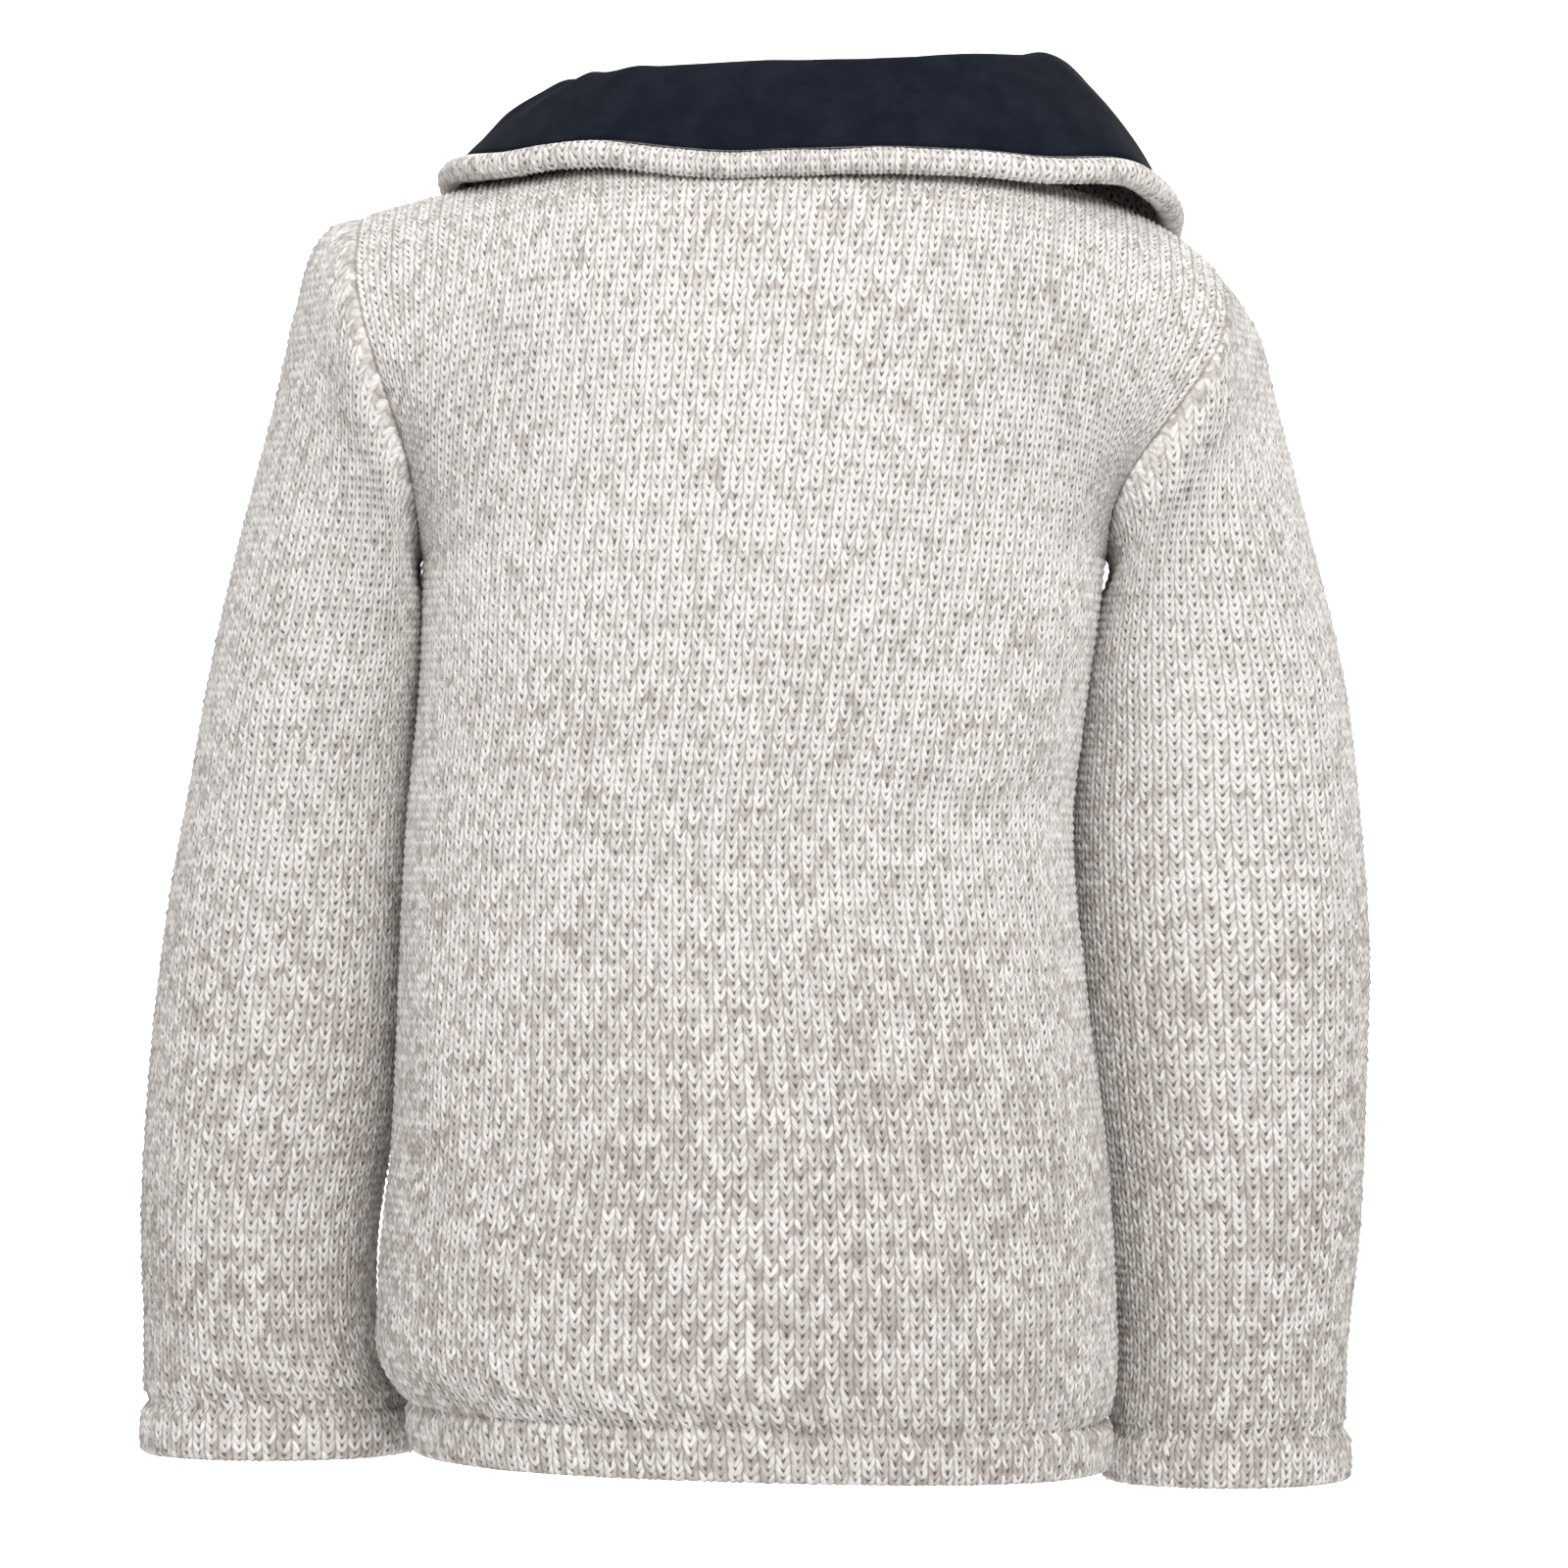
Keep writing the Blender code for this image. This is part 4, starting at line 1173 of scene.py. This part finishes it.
class CARDIGAN_OT_collar(bpy.types.Operator):
    """Build the collar's knit, its navy facing and the knit roll on its edge"""

    bl_idname = "cardigan.collar"
    bl_label = "Collar"

    def execute(self, context):
        face = table_surface(collar_table(-180, COLLAR_GRID))
        knit = knit_piece("collar_knit", face, (0, 1), WALES["collar"], 8, COLLAR_KNIT)
        dress(knit, "knit", "wool_knit", "collar_outer")
        grid = collar_table(180, FACING_GRID)
        columns, rows = FACING_GRID
        turn, level = np.meshgrid(np.linspace(180, -180, columns), np.linspace(0, 1, rows))
        rise = COLLAR_STACK + fleece_ripples(turn, level)
        rise[:, [0, -1]] = COLLAR_KNIT
        rise[[0, -1]] = COLLAR_KNIT
        coords = np.stack([turn / 3, level * 30], -1)
        points = grid + normals_of(grid) * rise[..., None]
        fleece = finish_mesh("collar_fleece", points, coords)
        dress(fleece, "fleece", "navy_fleece", "collar_facing")
        roll = knit_piece("collar_roll", table_surface(roll_table()), (0, 1), WALES["roll"], 9, 0.0)
        dress(roll, "knit", "wool_knit", "collar_edge")
        return {"FINISHED"}


def fleece_ripples(turn, level):
    """How far the collar's facing stands off its backing, in millimetres."""
    rng = np.random.default_rng(21)
    shift = soft_noise(rng, turn / 14, level * 6) * 0.5
    for at, lean, start, stop, wide, height in FACING_FOLDS:
        away = (turn - at - lean * (level - start)) / wide
        fade = ease((level - start + 0.08) / 0.12) * ease((stop - level + 0.1) / 0.2)
        shift = shift + height * np.exp(-(away**2)) * fade
    return shift


class CARDIGAN_OT_band(bpy.types.Operator):
    """Build the button band"""

    bl_idname = "cardigan.band"
    bl_label = "Button band"

    def execute(self, context):
        columns, rows = BAND_GRID
        grid = band_surface(*np.meshgrid(np.linspace(0, 1, columns), np.linspace(0, BAND_TOP, rows)))
        strip = table_surface(grid + normals_of(grid) * (SEAM + BAND_WALL))
        band = knit_piece("band_knit", strip, (0, 1), WALES["band"], 11, BAND_WALL)
        dress(band, "knit", "wool_knit", "button_band")
        rings = []
        for number in range(BUTTON_COUNT):
            point, _, turn = button_place(number)
            for wide in BUTTONHOLE_RINGS:
                ring = []
                for step in range(33):
                    angle = step * math.tau / 32
                    blunt = math.copysign(abs(math.cos(angle)) ** 0.45, math.cos(angle))
                    across = (BUTTONHOLE_HALF + wide) * blunt
                    ring.append(point + turn @ Vector((across, wide * math.sin(angle), 0.5)))
                rings.append(ring)
        holes = strand(rings, BUTTONHOLE_THREAD, "buttonholes")
        dress(holes, "knit", "sewing_thread")
        return {"FINISHED"}


class CARDIGAN_OT_buttons(bpy.types.Operator):
    """Build the six buttons and the thread that holds them"""

    bl_idname = "cardigan.buttons"
    bl_label = "Buttons"

    def execute(self, context):
        settings = context.scene.cardigan_button
        shape = button_mesh(settings)
        reach = settings.hole_gap / MM / 2
        for number in range(BUTTON_COUNT):
            point, normal, turn = button_place(number)
            stand = point + normal * (BUTTON_THICK / 2 + SEAM + 0.2)
            data = shape.copy()
            data.name = f"button_{number + 1}_horn"
            for vertex in data.vertices:
                vertex.co = (stand + turn @ vertex.co) * MM
            data.shade_smooth()
            data.set_sharp_from_angle(angle=math.radians(40))
            dress(placed(data.name, data), "button", "button_horn", f"button_{number + 1}")
            lines = []
            for up in (-reach, reach):
                for side in (-0.45, 0.45):
                    arc = []
                    for step in range(9):
                        share = step / 4 - 1
                        rise = BUTTON_THICK / 2 - 2.6 + 2.0 * (1 - share**4)
                        arc.append(stand + turn @ Vector((reach * share, up + side, rise)))
                    lines.append(arc)
            thread = strand(lines, BUTTON_THREAD, f"button_{number + 1}_thread")
            dress(thread, "button", "sewing_thread")
        bpy.data.meshes.remove(shape)
        return {"FINISHED"}


class CARDIGAN_OT_stage(bpy.types.Operator):
    """Build the floor, the lights and the camera"""

    bl_idname = "cardigan.stage"
    bl_label = "Studio"

    def execute(self, context):
        scene = context.scene
        settings = scene.cardigan_stage
        sweep = bmesh.new()
        bmesh.ops.create_grid(sweep, x_segments=2, y_segments=48, size=1.0)
        low = cad_box[0][2] - FLOOR_DROP
        for vertex in sweep.verts:
            along = (1 - vertex.co.y) * SWEEP_HALF_LENGTH
            bend = min(max(along - FLOOR_RUN, 0.0) / BACKDROP_BEND, math.pi / 2)
            rise = max(along - FLOOR_RUN - BACKDROP_BEND * math.pi / 2, 0.0)
            level = BACKDROP_BEND * (1 - math.cos(bend)) + rise
            back = min(along, FLOOR_RUN) + BACKDROP_BEND * math.sin(bend)
            vertex.co = (vertex.co.x * SWEEP_HALF_WIDTH, FLOOR_FRONT - back, low + level)
        bmesh.ops.recalc_face_normals(sweep, faces=sweep.faces)
        data = baked(sweep, "backdrop")
        data.shade_smooth()
        floor = placed("backdrop", data)
        look, wires, shader = new_material("studio_floor", 0.8)
        pale = tuple(settings.floor)
        dim = tuple(0.985 * part for part in pale[:3]) + (1.0,)
        wires.fill(shader, Base_Color=wires.blend(wires.noise(wires.place(), 2.0), pale, dim))
        data.materials.append(look)
        for name, at, target, size, power in LAMPS:
            lamp = bpy.data.lights.new(name, "AREA")
            lamp.shape = "DISK"
            lamp.size = size
            lamp.energy = settings.key * power
            stand = placed(name, lamp)
            stand.location = at
            aim = Vector(target) - Vector(at)
            stand.rotation_euler = aim.to_track_quat("-Z", "Y").to_euler()
        world = bpy.data.worlds.new("studio")
        world.use_nodes = True
        air = world.node_tree
        Wiring(air).fill(air.nodes["Background"], Color=(1, 1, 1, 1), Strength=WORLD_LIGHT)
        scene.world = world
        scene.view_settings.view_transform = "Standard"
        lens = bpy.data.cameras.new("camera")
        lens.lens = settings.lens
        lens.sensor_width = 36.0
        lens.dof.use_dof = False
        camera = placed("camera", lens)
        camera.location = CAMERA
        camera.rotation_euler = (math.pi / 2, 0.0, math.pi)
        scene.camera = camera
        return {"FINISHED"}


class CARDIGAN_PT_panel(bpy.types.Panel):
    """The cardigan's steps in the sidebar."""

    bl_idname = "CARDIGAN_PT_panel"
    bl_label = "Cardigan"
    bl_space_type = "VIEW_3D"
    bl_region_type = "UI"
    bl_category = "Cardigan"

    def draw(self, context):
        for operator in OPERATORS:
            self.layout.operator(operator.bl_idname)
        for name in SETTINGS:
            group = getattr(context.scene, name)
            box = self.layout.box()
            for key in group.bl_rna.properties.keys():
                if key not in ("rna_type", "name"):
                    box.prop(group, key)


OPERATORS = (
    CARDIGAN_OT_body, CARDIGAN_OT_sleeves, CARDIGAN_OT_collar, CARDIGAN_OT_band, CARDIGAN_OT_buttons,
    CARDIGAN_OT_stage,
)
SETTINGS = {
    "cardigan_knit": CARDIGAN_PG_knit,
    "cardigan_fleece": CARDIGAN_PG_fleece,
    "cardigan_button": CARDIGAN_PG_button,
    "cardigan_stage": CARDIGAN_PG_stage,
}


def register():
    for name, group in SETTINGS.items():
        bpy.utils.register_class(group)
        setattr(bpy.types.Scene, name, bpy.props.PointerProperty(type=group))
    for made in OPERATORS + (CARDIGAN_PT_panel,):
        bpy.utils.register_class(made)


def unregister():
    for made in (CARDIGAN_PT_panel,) + OPERATORS[::-1]:
        bpy.utils.unregister_class(made)
    for name, group in SETTINGS.items():
        delattr(bpy.types.Scene, name)
        bpy.utils.unregister_class(group)


def main():
    register()
    for operator in OPERATORS:
        group, word = operator.bl_idname.split(".")
        getattr(getattr(bpy.ops, group), word)()
    bpy.context.view_layer.update()


if __name__ == "__main__":
    main()
